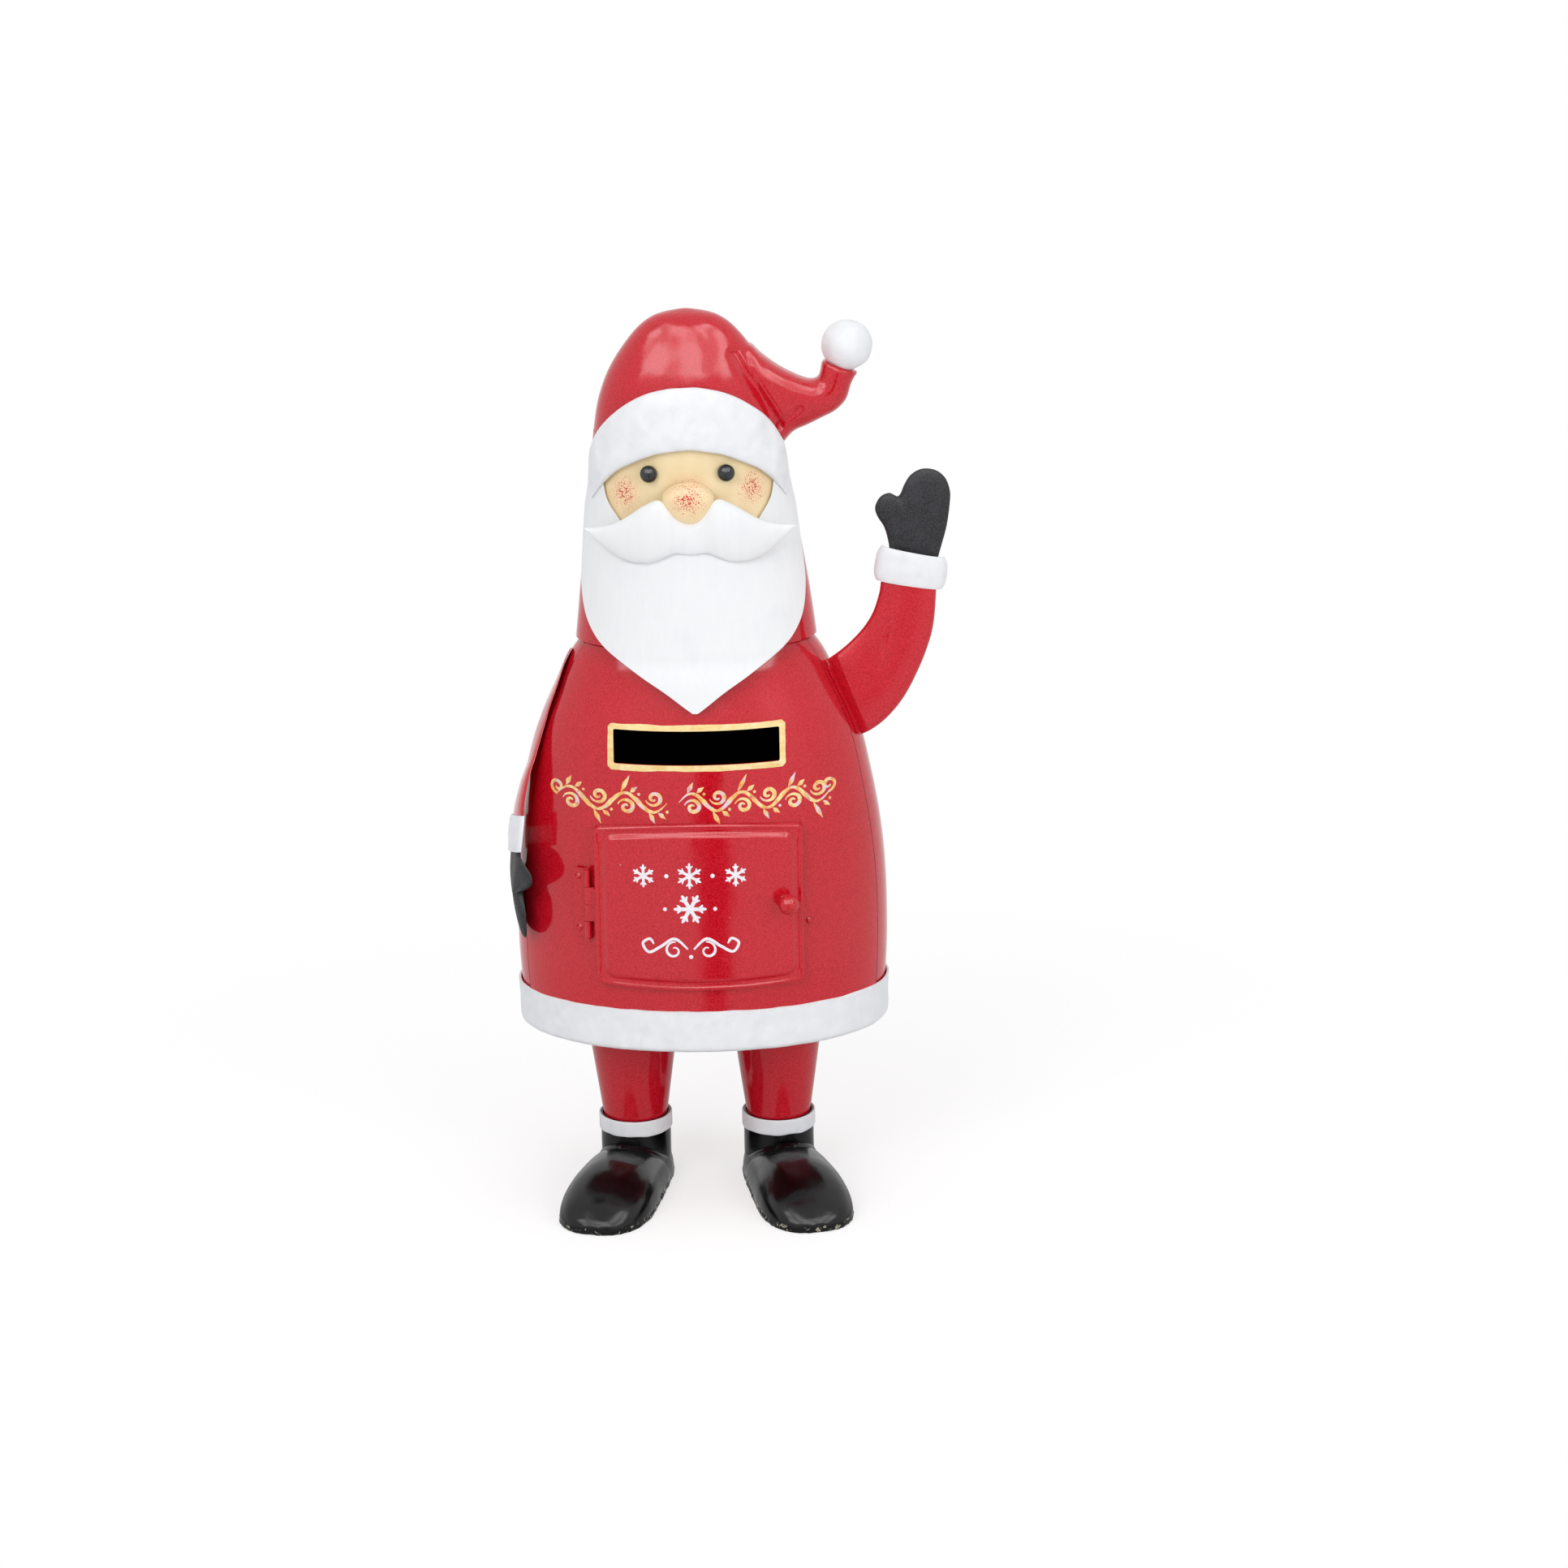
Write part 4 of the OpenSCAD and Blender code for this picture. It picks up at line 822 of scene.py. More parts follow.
def brim():
    upper = curve(both_ways(BRIM_UPPER), 10)
    lower = curve(both_ways(BRIM_LOWER), 10)
    rings = []
    seat = 2 * SEAT + 2 * SHEET
    for i, (u, d) in enumerate(zip(upper, lower)):
        a = on_head(u, lookup(u[1], [(0.56, seat + SEAT), (0.68, SEAT + SHEET)]))
        b = on_head(d, seat + SEAT)
        m = lerp(a, b, 0.5)
        end = min(i, len(upper) - 1 - i) / 24
        out = oval_out(head_r(m[2]), m[0], m[1])
        edge = 0.4 * wave((m[0], 0, 0), 9, 3.0)
        a, b = moved(a, (0, 0, 1), edge), moved(b, (0, 0, 1), 0.3 * wave((m[0], 9, 0), 8, 4.0))

        def shape(p, way, u):
            edge_fade = bulge(u, 4)
            return moved(p, way, (-0.5 * dent(p, 9, 1.0) + 0.22 * wave(p, 12, 9.0)) * edge_fade)

        rings.append(band_section(a, b, out, lerp(0.9, 4.0, smooth(0, 1, end)), 26, 3.2, shape))
    verts, faces = loft(rings)
    add(mesh_object("hat_brim_white", verts, faces, [WHITE], sharp=60), ["hat_brim"])


# ---------------------------------------------------------------- face

def eye(side):
    """Flattened bead on the painted face."""
    x = side * EYE_X
    y = head_y(x, EYE_Z, 0)
    out = Vector(oval_out(head_r(EYE_Z), x, y))
    across = Vector((0, 0, 1)).cross(out)
    rings = []
    r = EYE_D / 2
    for i in range(17):
        a = math.radians(-18 + 106 * i / 16)
        ring = []
        for k in range(40):
            t = 2 * math.pi * k / 40
            way = across * math.cos(t) + Vector((0, 0, 1)) * math.sin(t)
            ring.append(tuple(Vector((x, y, EYE_Z)) + way * r * math.cos(a)
                              + out * (EYE_D / 5 + 0.35 + r * math.sin(a) * 0.96)))
        rings.append(ring)
    verts, faces = loft(rings)
    name = "left" if side < 0 else "right"
    add(mesh_object(name + "_eye_bead", verts, faces, [BEAD], sharp=60), [name + "_eye"])


def relief(outline, middle, out, depth, power, steps):
    """Closed relief over an outline: rounded at its edge and nearly flat in the middle."""
    rings = []
    for i in range(steps):
        s = math.cos(math.pi / 2 * i / steps)
        high = depth * (1 - s ** power) ** (1 / power)
        rings.append([moved(lerp(middle, p, s), out, high) for p in outline])
    verts, faces = loft(rings)
    n = len(outline)
    faces = faces[:n * (len(rings) - 1)]
    verts.append(tuple(sum(q[k] for q in rings[-1]) / n for k in range(3)))
    last = (len(rings) - 1) * n
    faces += [(last + i, last + (i + 1) % n, len(verts) - 1) for i in range(n)]
    verts.append(tuple(sum(q[k] for q in rings[0]) / n for k in range(3)))
    faces += [((i + 1) % n, i, len(verts) - 1) for i in range(n)]
    return verts, faces


NOSE_W = 26.0
NOSE_Z = HEAD_Z + 0.452 * HEAD_H
NOSE = [(0.5, 0.17), (0.3, 0.38), (0, 0.45), (-0.3, 0.38), (-0.5, 0.17), (-0.4, -0.1), (-0.2, -0.29),
        (0.04, -0.36), (0.25, -0.29), (0.41, -0.1)]


def nose():
    y = head_y(0, NOSE_Z - NOSE_W / 2, SEAT)
    outline = [(p[0] * NOSE_W, y, NOSE_Z + p[1] * NOSE_W) for p in curve(NOSE, 7, closed=True)]
    verts, faces = relief(outline, (0, y, NOSE_Z), (0, -1, 0), 9.0, 2.6, 20)
    add(mesh_object("nose_painted", verts, faces, [SKIN], sharp=60), ["nose"])


MOUSTACHE_UPPER = [(0, 0.404), (0.1, 0.421), (0.225, 0.472), (0.36, 0.456), (0.5, 0.422),
                   (0.62, 0.398), (0.75, 0.384), (0.86, 0.38)]
MOUSTACHE_LOWER = [(0, 0.31), (0.13, 0.314), (0.22, 0.301), (0.33, 0.286), (0.47, 0.286),
                   (0.6, 0.303), (0.74, 0.338), (0.85, 0.375)]
STANDS = [(-0.17, 4.8), (-0.09, 6.2), (0, 6.5), (0.06, 5.6), (0.167, 4.4), (0.3, 3), (0.45, 1.8),
          (0.55, 1.2), (0.65, 1.2)]


def beard_stand(t):
    return lookup(t, STANDS) + SEAT


def moustache_y(x):
    return head_y(0, HEAD_Z + 0.3 * HEAD_H, beard_stand(0.3) + SEAT) + 12 * (x / (0.85 * HEAD_U)) ** 2


def moustache():
    upper, lower = curve(both_ways(MOUSTACHE_UPPER), 10), curve(both_ways(MOUSTACHE_LOWER), 10)
    rings = []
    for u, d in zip(upper, lower):
        a, b = ((p[0] * HEAD_U, moustache_y(p[0] * HEAD_U), HEAD_Z + p[1] * HEAD_H) for p in (u, d))
        wide = math.dist(a, b)
        depth = max(1.6, 6.0 * min(1, wide / (0.17 * HEAD_H)))

        def shape(p, way, s):
            fold = 0.5 * math.exp(-((p[0] + 3.0 - 0.35 * (p[2] - 345)) / 1.3) ** 2)
            return moved(p, way, (0.1 * wave((p[0] / 2, p[1], p[2]), 16, 5.0) - fold) * bulge(s, 4))

        rings.append(band_section(a, b, (0, -1, 0), depth, 26, 2.25, shape))
    verts, faces = loft(rings)
    add(mesh_object("moustache_white", verts, faces, [BEARD], sharp=60), ["moustache"])


BEARD_SHAPE = [(0.02, -0.15), (0.094, -0.131), (0.256, -0.088), (0.49, -0.036), (0.7, 0.015), (0.82, 0.06),
               (0.895, 0.119), (0.92, 0.202), (0.9, 0.304), (0.862, 0.435), (0.822, 0.55), (0.8, 0.61)]
FACE_OPENING = [(0.3, 0.365), (0.5, 0.38), (0.6, 0.42), (0.665, 0.458), (0.69, 0.5), (0.7, 0.56), (0.7, 0.65)]


def beard():
    """White sheet over the chin and cheeks, with faint ridges that run down to its tip."""
    columns = 90
    rings = []
    for share, t in curve(BEARD_SHAPE, 9):
        z = HEAD_Z + t * HEAD_H
        r = lerp(body_r(min(z, HEAD_Z)) + LAP, head_r(max(z, HEAD_Z + 3)), smooth(HEAD_Z - 12, HEAD_Z + 6, z))
        s = beard_stand(t)
        half = min(share * HEAD_U, r + s - SHEET - SEAT)
        outer, inner = [], []
        for i in range(columns + 1):
            u = -1 + 2 * i / columns
            x = half * math.sin(math.pi / 2 * u)
            fade = 1 - abs(u) ** 8
            ridge = 0.12 * wave((x, 0, z / 5), 11, 1.0)
            outer.append((x, oval_y(r, x, s + ridge * fade), z))
            x = (half - SHEET / 8) * math.sin(math.pi / 2 * u)
            inner.append((x, oval_y(r, x, s - SHEET), z))
        rings.append(outer + inner[::-1])
    verts, faces = loft(rings)
    obj = mesh_object("beard_white", verts, faces, [BEARD], sharp=40)
    half = curve(FACE_OPENING, 8)
    around = half + [(-p[0], p[1]) for p in reversed(half)]
    outline = [(p[0] * HEAD_U, HEAD_Z + p[1] * HEAD_H) for p in around]
    cut(obj, prism(outline, -HEAD_W, 0))
    add(obj, ["beard"])


# ---------------------------------------------------------------- arms

SHOULDER_Z = SKIRT_Z + 0.85 * BODY_H
SHOULDER_X = body_r(SHOULDER_Z)
RAISED_INNER = [(-9.3, 19.8), (-2.9, 24.4), (3, 29.6), (8.9, 36.2), (13.4, 43.6), (16.4, 52.5),
                (17.4, 58), (18.1, 64)]
RAISED_OUTER = [(6.9, -19.8), (12.8, -16.8), (20.2, -10.9), (27.6, -2), (33.6, 8.5), (40, 23.5),
                (43.9, 38), (45.6, 60)]
MITTEN_MIDDLE = (32.5, 92.0)
MITTEN_SHAPE = [(-5.9, 10.9), (-10.5, 12.6), (-15.2, 10.6), (-17.8, 5.6), (-16.8, 1), (-13.2, -5),
                (-11.2, -12.5), (-10.7, -17), (13.5, -22.5), (15.8, -14.6), (18.6, -4.2), (20.2, 7.5),
                (20.2, 13.3), (18.2, 19.2), (14.4, 23), (9.4, 24.6), (4.5, 24.1), (0, 21.2), (-2.9, 16.8)]
# Share of its outline's width that the raised mitten has
MITTEN_SLIM = 0.98
# Pressed wrinkles of the raised sleeve: ends from the shoulder, width and depth
WRINKLES = [((22, 41), (17.5, 23), 1.2, 1.4), ((11, 30), (16, 14), 6, 0.5), ((-2, 12), (12, 6), 5, 0.5)]
# Width of the turned-down edge of the raised sleeve along the body
SLEEVE_FLANGE = 5.2
# How much further forward its outer side stands than its inner side
SLEEVE_TURN = 1.6


def at_shoulder(p):
    return (SHOULDER_X + p[0], -ARM_FRONT, SHOULDER_Z + p[1])


def from_line(p, a, b):
    """Distance of a point from the stretch a to b, and how far along it lies."""
    p, a, b = Vector(p), Vector(a), Vector(b)
    t = clamp((p - a).dot(b - a) / (b - a).length_squared)
    return (p - a.lerp(b, t)).length, t


def arch(a, b, out, depth, steps=22, power=2.2, shape=None):
    """Closed section of an arched sheet between the edge points a and b."""
    way = Vector(b) - Vector(a)
    way.normalize()
    top, under = [], []
    for i in range(steps + 1):
        u = (1 - math.cos(math.pi * i / steps)) / 2
        p = moved(lerp(a, b, u), out, depth * bulge(u, power))
        top.append(shape(p, u) if shape else p)
        q = lerp(moved(a, way, SHEET), moved(b, way, -SHEET), u)
        q = moved(q, out, (depth - SHEET) * bulge(u, power))
        under.append(shape(q, u) if shape else q)
    return top + under[::-1]


def on_side(p):
    """The point moved along X onto its seat on the body's side."""
    r, b = body_r(p[2]) + SEAT, body_r(p[2]) * ROUNDNESS + SEAT
    return (r * math.sqrt(1 - (p[1] / b) ** 2), p[1], p[2])


def raised_sleeve():
    """Pressed sleeve with wrinkles at the elbow, and the tab that carries it on the body."""
    inner, outer = curve(RAISED_INNER, 14), curve(RAISED_OUTER, 14)

    def shape(p, u):
        at = (p[0] - SHOULDER_X, p[2] - SHOULDER_Z)
        push = 0.0
        for a, b, wide, deep in WRINKLES:
            far, t = from_line(at, a, b)
            push -= deep * math.exp(-(far / wide) ** 2) * math.sin(math.pi * clamp(0.1 + 0.8 * t))
        push += 0.15 * wave(p, 14, 3.0) + SLEEVE_TURN * (u - 0.5)
        return moved(p, (0, -1, 0), push * bulge(u, 5))

    rings = []
    for k, (a, b) in enumerate(zip(inner, outer)):
        depth = 5.0 * lerp(0.14, 1.0, clamp(k * 0.52 / SLEEVE_FLANGE))
        rings.append(arch(at_shoulder(a), at_shoulder(b), (0, -1, 0), depth, 60, 2.6, shape))
    rings[0] = [on_side(p) for p in rings[0]]
    verts, faces = loft(rings)
    tab = []
    for i in range(19):
        z = SHOULDER_Z + lerp(-18, 16, i / 18)
        angles = [lerp(-15, 3, k / 12) for k in range(13)]
        proud = SEAT + SHEET
        tab.append([oval(body_r(z), z, a, proud) for a in angles]
                   + [oval(body_r(z), z, a, proud - SHEET) for a in reversed(angles)])
    more, tab_faces = loft(tab)
    faces += [tuple(i + len(verts) for i in f) for f in tab_faces]
    obj = mesh_object("raised_sleeve_red", verts + more, faces, [DRY_RED], sharp=40)
    add(obj, ["raised_sleeve"])


def cuff(name, node, low_a, low_b, high_a, high_b, out, depth, seed, puff=1.0):
    """Thick white cuff, widest at its middle."""
    rings = []
    for i in range(19):
        t = i / 18
        a, b = lerp(low_a, high_a, t), lerp(low_b, high_b, t)
        wide = SHEET + 0.3 + 3.3 * puff * bulge(clamp(t, 0.02, 0.98), 2.4)
        way = tuple((Vector(b) - Vector(a)).normalized())

        def shape(p, u):
            hit = 0.4 * dent(p, 8, seed) + 0.25 * wave(p, 7, seed)
            return moved(p, out, -hit * bulge(u, 4) * bulge(clamp(t, 0.02, 0.98), 4))

        high = depth * (0.84 + 0.16 * bulge(clamp(t, 0.0, 1.0), 2))
        rings.append(arch(moved(a, way, -wide), moved(b, way, wide), out, high, 24, 2.4, shape))
    verts, faces = loft(rings)
    add(mesh_object(name, verts, faces, [WHITE], sharp=55), [node])


def raised_hand():
    edges = [at_shoulder(p) for p in ((17.4, 60.3), (45.6, 55.6), (20.6, 77.6), (47.2, 72))]
    cuff("raised_cuff_white", "raised_cuff", *edges, (0, -1, 0), 7.0, 5.0)
    x, z = MITTEN_MIDDLE
    outline = [at_shoulder((x + MITTEN_SLIM * p[0], z + p[1])) for p in mitten_outline()]
    middle = at_shoulder(MITTEN_MIDDLE)
    verts, faces = relief(outline, middle, (0, -1, 0), 4.0, 2.8, 14)
    add(mesh_object("raised_mitten_black", verts, faces, [MITTEN], sharp=60),
        ["raised_mitten"])


def mitten_outline():
    """Rounded outline of a mitten, straight across its wrist."""
    round_part = curve(MITTEN_SHAPE[8:] + MITTEN_SHAPE[:8], 5)
    wrist = [lerp(MITTEN_SHAPE[7], MITTEN_SHAPE[8], i / 5) for i in range(1, 5)]
    return round_part + wrist


# The lowered arm's places are measured along it from the shoulder and across it, positive to the front
ARM_SWING, ARM_FORE, ARM_RISE = math.radians(14), 4.0, 20.0
ARM_STANDS = [(34, 0), (41, 0.4), (49, 1.7), (56, 3.6), (62, 4.9), (72, 6.7), (79, 7.3), (99, 9.7),
              (110, 10.6), (120, 10.9), (136, 12.3), (146, 14.2)]
ARM_TURNS = [(-10, 0), (0, 2), (16, 8), (30, 12), (41, 9), (54, 8), (67, 10), (79, 13), (98, 12), (108, 14),
             (118, 17), (128, 15), (140, 12)]
HAND_CURL = [(98, 0), (108, 0.011), (130, 0.01), (150, 0.006)]
LOWERED_SHAPE = [(1.5, -1.5, -6.5), (5, -4, -4.5), (8, -7, 2), (9.5, -8, 14), (10, -7.5, 28), (11.5, -9, 41),
                 (13, -11.5, 54), (14, -13, 67), (14.3, -14, 84)]
LOWERED_CUFF = (77.5, 95.8)
CUFF_HALF = 14.8
HANGING_MIDDLE = (-2, 118)
HANGING_SHAPE = [(-11.5, -25), (-12, -20), (-16.5, -13), (-19.3, -4), (-19.5, 4), (-17, 12), (-13, 18.5),
                 (-7.5, 22), (-2, 21.8), (3, 18), (5.5, 12), (6, 6), (4.5, -0.5), (8, -2.2), (13.5, -3.5),
                 (18.2, -6.5), (19.3, -12), (16.5, -18), (12.2, -21), (11.5, -25)]


def side_out(along):
    a = math.radians(lookup(along, ARM_TURNS))
    return (-math.cos(a), -math.sin(a), 0.0)


def side_x(y, z):
    r, b = body_r(z) + SEAT, body_r(z) * ROUNDNESS + SEAT
    return -r * math.sqrt(max(0.0, 1 - (y / b) ** 2))


def at_side(across, along):
    y, z = -ARM_FORE - along * math.sin(ARM_SWING), SHOULDER_Z + ARM_RISE - along * math.cos(ARM_SWING)
    x = side_x(y, z) - lookup(along, ARM_STANDS) + across ** 2 * lookup(along, HAND_CURL)
    out = side_out(along)
    x -= across * math.cos(ARM_SWING) * out[1]
    y += across * math.cos(ARM_SWING) * out[0]
    z += across * math.sin(ARM_SWING)
    return (min(x, side_x(y, z)), y, z)


def lowered_arm():
    rings = []
    for front, back, along in curve(LOWERED_SHAPE, 9):
        depth = lookup(along, [(28, LAP), (60, 2.6)])

        def shape(p, u):
            return moved(p, side_out(along), 0.1 * wave(p, 15, 2.0) * bulge(u, 5) - 0.05)

        a, b = at_side(front, along), at_side(back, along)
        rings.append(arch(a, b, side_out(along), depth, 24, 2.4, shape))
    verts, faces = loft(rings)
    add(mesh_object("lowered_sleeve_red", verts, faces, [RED], sharp=40), ["lowered_sleeve"])
    top, low = LOWERED_CUFF
    cuff("lowered_cuff_white", "lowered_cuff", at_side(CUFF_HALF, top), at_side(-CUFF_HALF, top),
         at_side(CUFF_HALF - 1, low), at_side(1 - CUFF_HALF, low), side_out(low), 4.3, 9.0, 0.5)
    middle = HANGING_MIDDLE
    rows = curve(HANGING_SHAPE, 5)
    wrist = [lerp(rows[-1], rows[0], i / 5) for i in range(1, 5)]
    outline = [at_side(p[0], middle[1] + p[1]) for p in rows + wrist]
    verts, faces = relief(outline, at_side(*middle), side_out(middle[1]), 3.5, 2.3, 14)
    add(mesh_object("lowered_mitten_black", verts, faces, [MITTEN], sharp=60),
        ["lowered_mitten"])


# ---------------------------------------------------------------- legs and boots

UPPER_SHAPE = [(8, 18, -1), (13, 19, -0.86), (17.4, 19.5, -0.45), (19.6, 20, 0), (20.8, 20.5, 0.16),
               (22, 22, 0.34), (23.4, 21.5, 0.54), (23.2, 18, 0.72), (19.8, 12.5, 0.87), (13, 7, 0.965),
               (5.5, 4, 1)]


def at_leg(side, p):
    a = math.radians(side * TOE_OUT)
    return (side * LEG_SPAN / 2 + p[0] * math.cos(a) - p[1] * math.sin(a),
            p[0] * math.sin(a) + p[1] * math.cos(a), p[2])


def lathe(side, profile, shape):
    """Closed turned form around a leg's axis through pairs of radius and height."""
    count = 96
    rings = []
    for r, z in profile:
        ring = []
        for k in range(count):
            a = 2 * math.pi * k / count
            p = (r * math.cos(a), r * math.sin(a), z)
            ring.append(at_leg(side, shape(p)))
        rings.append(ring)
    return loft(rings, closed=True)


def leg(side, name):
    low, high = SOLE_T, SKIRT_Z + 5 - SHEET - 0.1
    outer = [(lerp(LEG_FOOT_D, LEG_TOP_D, i / 24) / 2, lerp(low, high, i / 24)) for i in range(25)]
    profile = outer + [(r - SHEET, z) for r, z in reversed(outer)]

    def shape(p):
        r = math.hypot(p[0], p[1])
        k = 1 + 0.13 * wave((p[0], p[1], p[2] / 1.6), 17, side * 3.0) / r
        return (p[0] * k, p[1] * k, p[2])

    verts, faces = lathe(side, profile, shape=shape)
    add(mesh_object(name + "_leg_red", verts, faces, [RED], sharp=45), [name + "_leg"])


def boot_band(side, name):
    """White painted band on the rim, with a hand-painted lower edge."""
    r0, r1 = SHAFT_D / 2 + 0.1, SHAFT_D / 2 + LAP
    low, high = SHAFT_Z - BAND_H, SHAFT_Z
    profile = [(r0, low), (r1 - 0.25, low), (r1, low + 0.3)]
    profile += [(r1, lerp(low + 0.3, high - 0.3, i / 8)) for i in range(1, 9)]
    profile += [(r1 - 0.3, high), (r0, high)]

    def shape(p):
        drop = 0.7 * wave((p[0], p[1], 0), 8, side * 5.0) * (1 - smooth(0, 1, (p[2] - low) / BAND_H))
        return (p[0], p[1], p[2] + drop)

    verts, faces = lathe(side, profile, shape=shape)
    add(mesh_object(name + "_boot_band_white", verts, faces, [WHITE], sharp=50),
        [name + "_boot_band"])


def boot_shaft(side, name):
    r, low, high = SHAFT_D / 2, SOLE_T, SHAFT_Z
    outer = [(r, lerp(low, high - 0.3, i / 16)) for i in range(17)] + [(r - 0.3, high)]
    profile = outer + [(r - SHEET, z) for z in (high, low)]

    def shape(p):
        k = 1 + 0.12 * wave(p, 9, side * 2.0) / math.hypot(p[0], p[1])
        return (p[0] * k, p[1] * k, p[2])

    verts, faces = lathe(side, profile, shape=shape)
    add(mesh_object(name + "_boot_shaft_black", verts, faces, [BOOT], sharp=50),
        [name + "_boot_shaft"])


def along_foot(t):
    return t * (HEEL_REACH if t < 0 else TOE_REACH)


def boot_foot(side, name):
    """Pressed upper of the boot: a rounded toe, a crease at the ankle and a lip around the shaft."""
    line = curve(UPPER_SHAPE, 14)
    rings = []
    steps = 64
    for half, high, t in line:
        ring = []
        for i in range(steps + 1):
            u = math.pi * i / steps
            c, s = math.cos(u), math.sin(u)
            x = half * math.copysign(abs(c) ** 0.82, c)
            z = SOLE_T + high * abs(s) ** 0.82
            p = (x, -along_foot(t), z)
            far = math.hypot(p[0], p[1]) - SHAFT_D / 2
            lip = 1.2 * math.exp(-((far - 0.8) / 1.1) ** 2) if p[1] < 6 else 0.0
            fold = -1.2 * math.exp(-((far - 3.4) / 1.1) ** 2) * smooth(2, -6, p[1])
            ease = (lip + fold) * s + 0.35 * wave((x, p[1], z), 12, side * 4.0) * s
            ring.append(at_leg(side, (x, p[1], z + ease)))
        rings.append(ring)
    verts, faces = loft(rings)
    add(mesh_object(name + "_boot_foot_black", verts, faces, [BOOT], sharp=60),
        [name + "_boot_upper"])


def boot_sole(side, name):
    """Sole plate with the rough weld bead around its edge."""
    line = curve(UPPER_SHAPE, 8)
    half = [(s[0], -along_foot(s[2]) * (0.992 if s[2] > 0 else 1)) for s in line]
    outline = half + [(-x, y) for x, y in reversed(half)]
    dense = []
    for a, b in zip(outline, outline[1:] + outline[:1]):
        n = max(1, round(math.dist(a, b) / 0.7))
        dense += [lerp(a, b, i / n) for i in range(n)]
    middle = (0.0, -(TOE_REACH - HEEL_REACH) / 2)
    rings = []
    bead = [(-0.8, 0.0), (-0.1, 0.05), (0.25, 0.7), (0.3, 1.5), (0.05, 2.3), (-0.9, 2.9)]
    for out, z in bead:
        ring = []
        for p in dense:
            way = (Vector(p) - Vector(middle)).normalized()
            lump = wave((p[0], p[1], z * 0.6), 2.4, side * 6.0) + 0.35 * wave((p[0], p[1], z), 0.9, 3.0)
            lump = max(-0.25, lump)
            grow = out + (0.75 * lump if 0 < z < 2.8 else 0.0)
            q = Vector(p) + way * grow
            ring.append(at_leg(side, (q[0], q[1], max(0.0, z + (0.35 * lump if z > 1 else 0.0)))))
        rings.append(ring)
    rings.append([at_leg(side, (*lerp(p, middle, 0.12), 2.2)) for p in dense])
    n = len(dense)
    verts = [p for r in rings for p in r]
    faces = [(j * n + i, j * n + (i + 1) % n, (j + 1) * n + (i + 1) % n, (j + 1) * n + i)
             for j in range(len(rings) - 1) for i in range(n)]
    verts += [at_leg(side, (*middle, 0.0)), at_leg(side, (*middle, 2.2))]
    top = (len(rings) - 1) * n
    faces += [((i + 1) % n, i, len(verts) - 2) for i in range(n)]
    faces += [(top + i, top + (i + 1) % n, len(verts) - 1) for i in range(n)]
    add(mesh_object(name + "_boot_sole_black", verts, faces, [BOOT], sharp=70),
        [name + "_boot_sole"])


# ---------------------------------------------------------------- door

def door_rise(x):
    return DOOR_BOW * (1 - (2 * x / DOOR_W) ** 2)


def door_edges(x):
    half = DOOR_H / 2 + door_rise(x)
    return DOOR_Z - half, DOOR_Z + half


def door_y(x, z):
    return panel_y(x, z, DOOR_PROUD + DOOR_FLAT * (2 * x / DOOR_W) ** 2)


def door_relief(x, z):
    """Height above the door's plain face: a rolled lip, a groove and a raised middle."""
    low, high = door_edges(x)
    dx, dz = DOOR_W / 2 - abs(x), min(z - low, high - z)
    r = 3.0
    if dx < r and dz < r:
        edge = r - math.hypot(r - dx, r - dz)
    else:
        edge = min(dx, dz)
    inner_r = 6.5
    if dx < inner_r + 3 and dz < inner_r + 3:
        deep = inner_r + 3 - math.hypot(inner_r + 3 - dx, inner_r + 3 - dz)
    else:
        deep = min(dx, dz)
    lip = 0.45 * math.exp(-((edge - 0.9) / 0.75) ** 2)
    groove = -0.35 * math.exp(-((deep - 3.2) / 1.1) ** 2)
    middle = 1.2 * smooth(3.6, 6.2, deep)
    soft = 0.1 * wave((x, 0, z), 24, 4.0) * smooth(4, 8, deep)
    return lip + groove + middle + soft


def spread(half, fine, step, border):
    """Places from -half to half, closer together in the border."""
    n, m = round(border / fine), round(2 * (half - border) / step)
    edge = [-half + border * i / n for i in range(n)]
    inside = [lerp(-half + border, half - border, i / m) for i in range(m + 1)]
    return edge + inside + [-v for v in reversed(edge)]


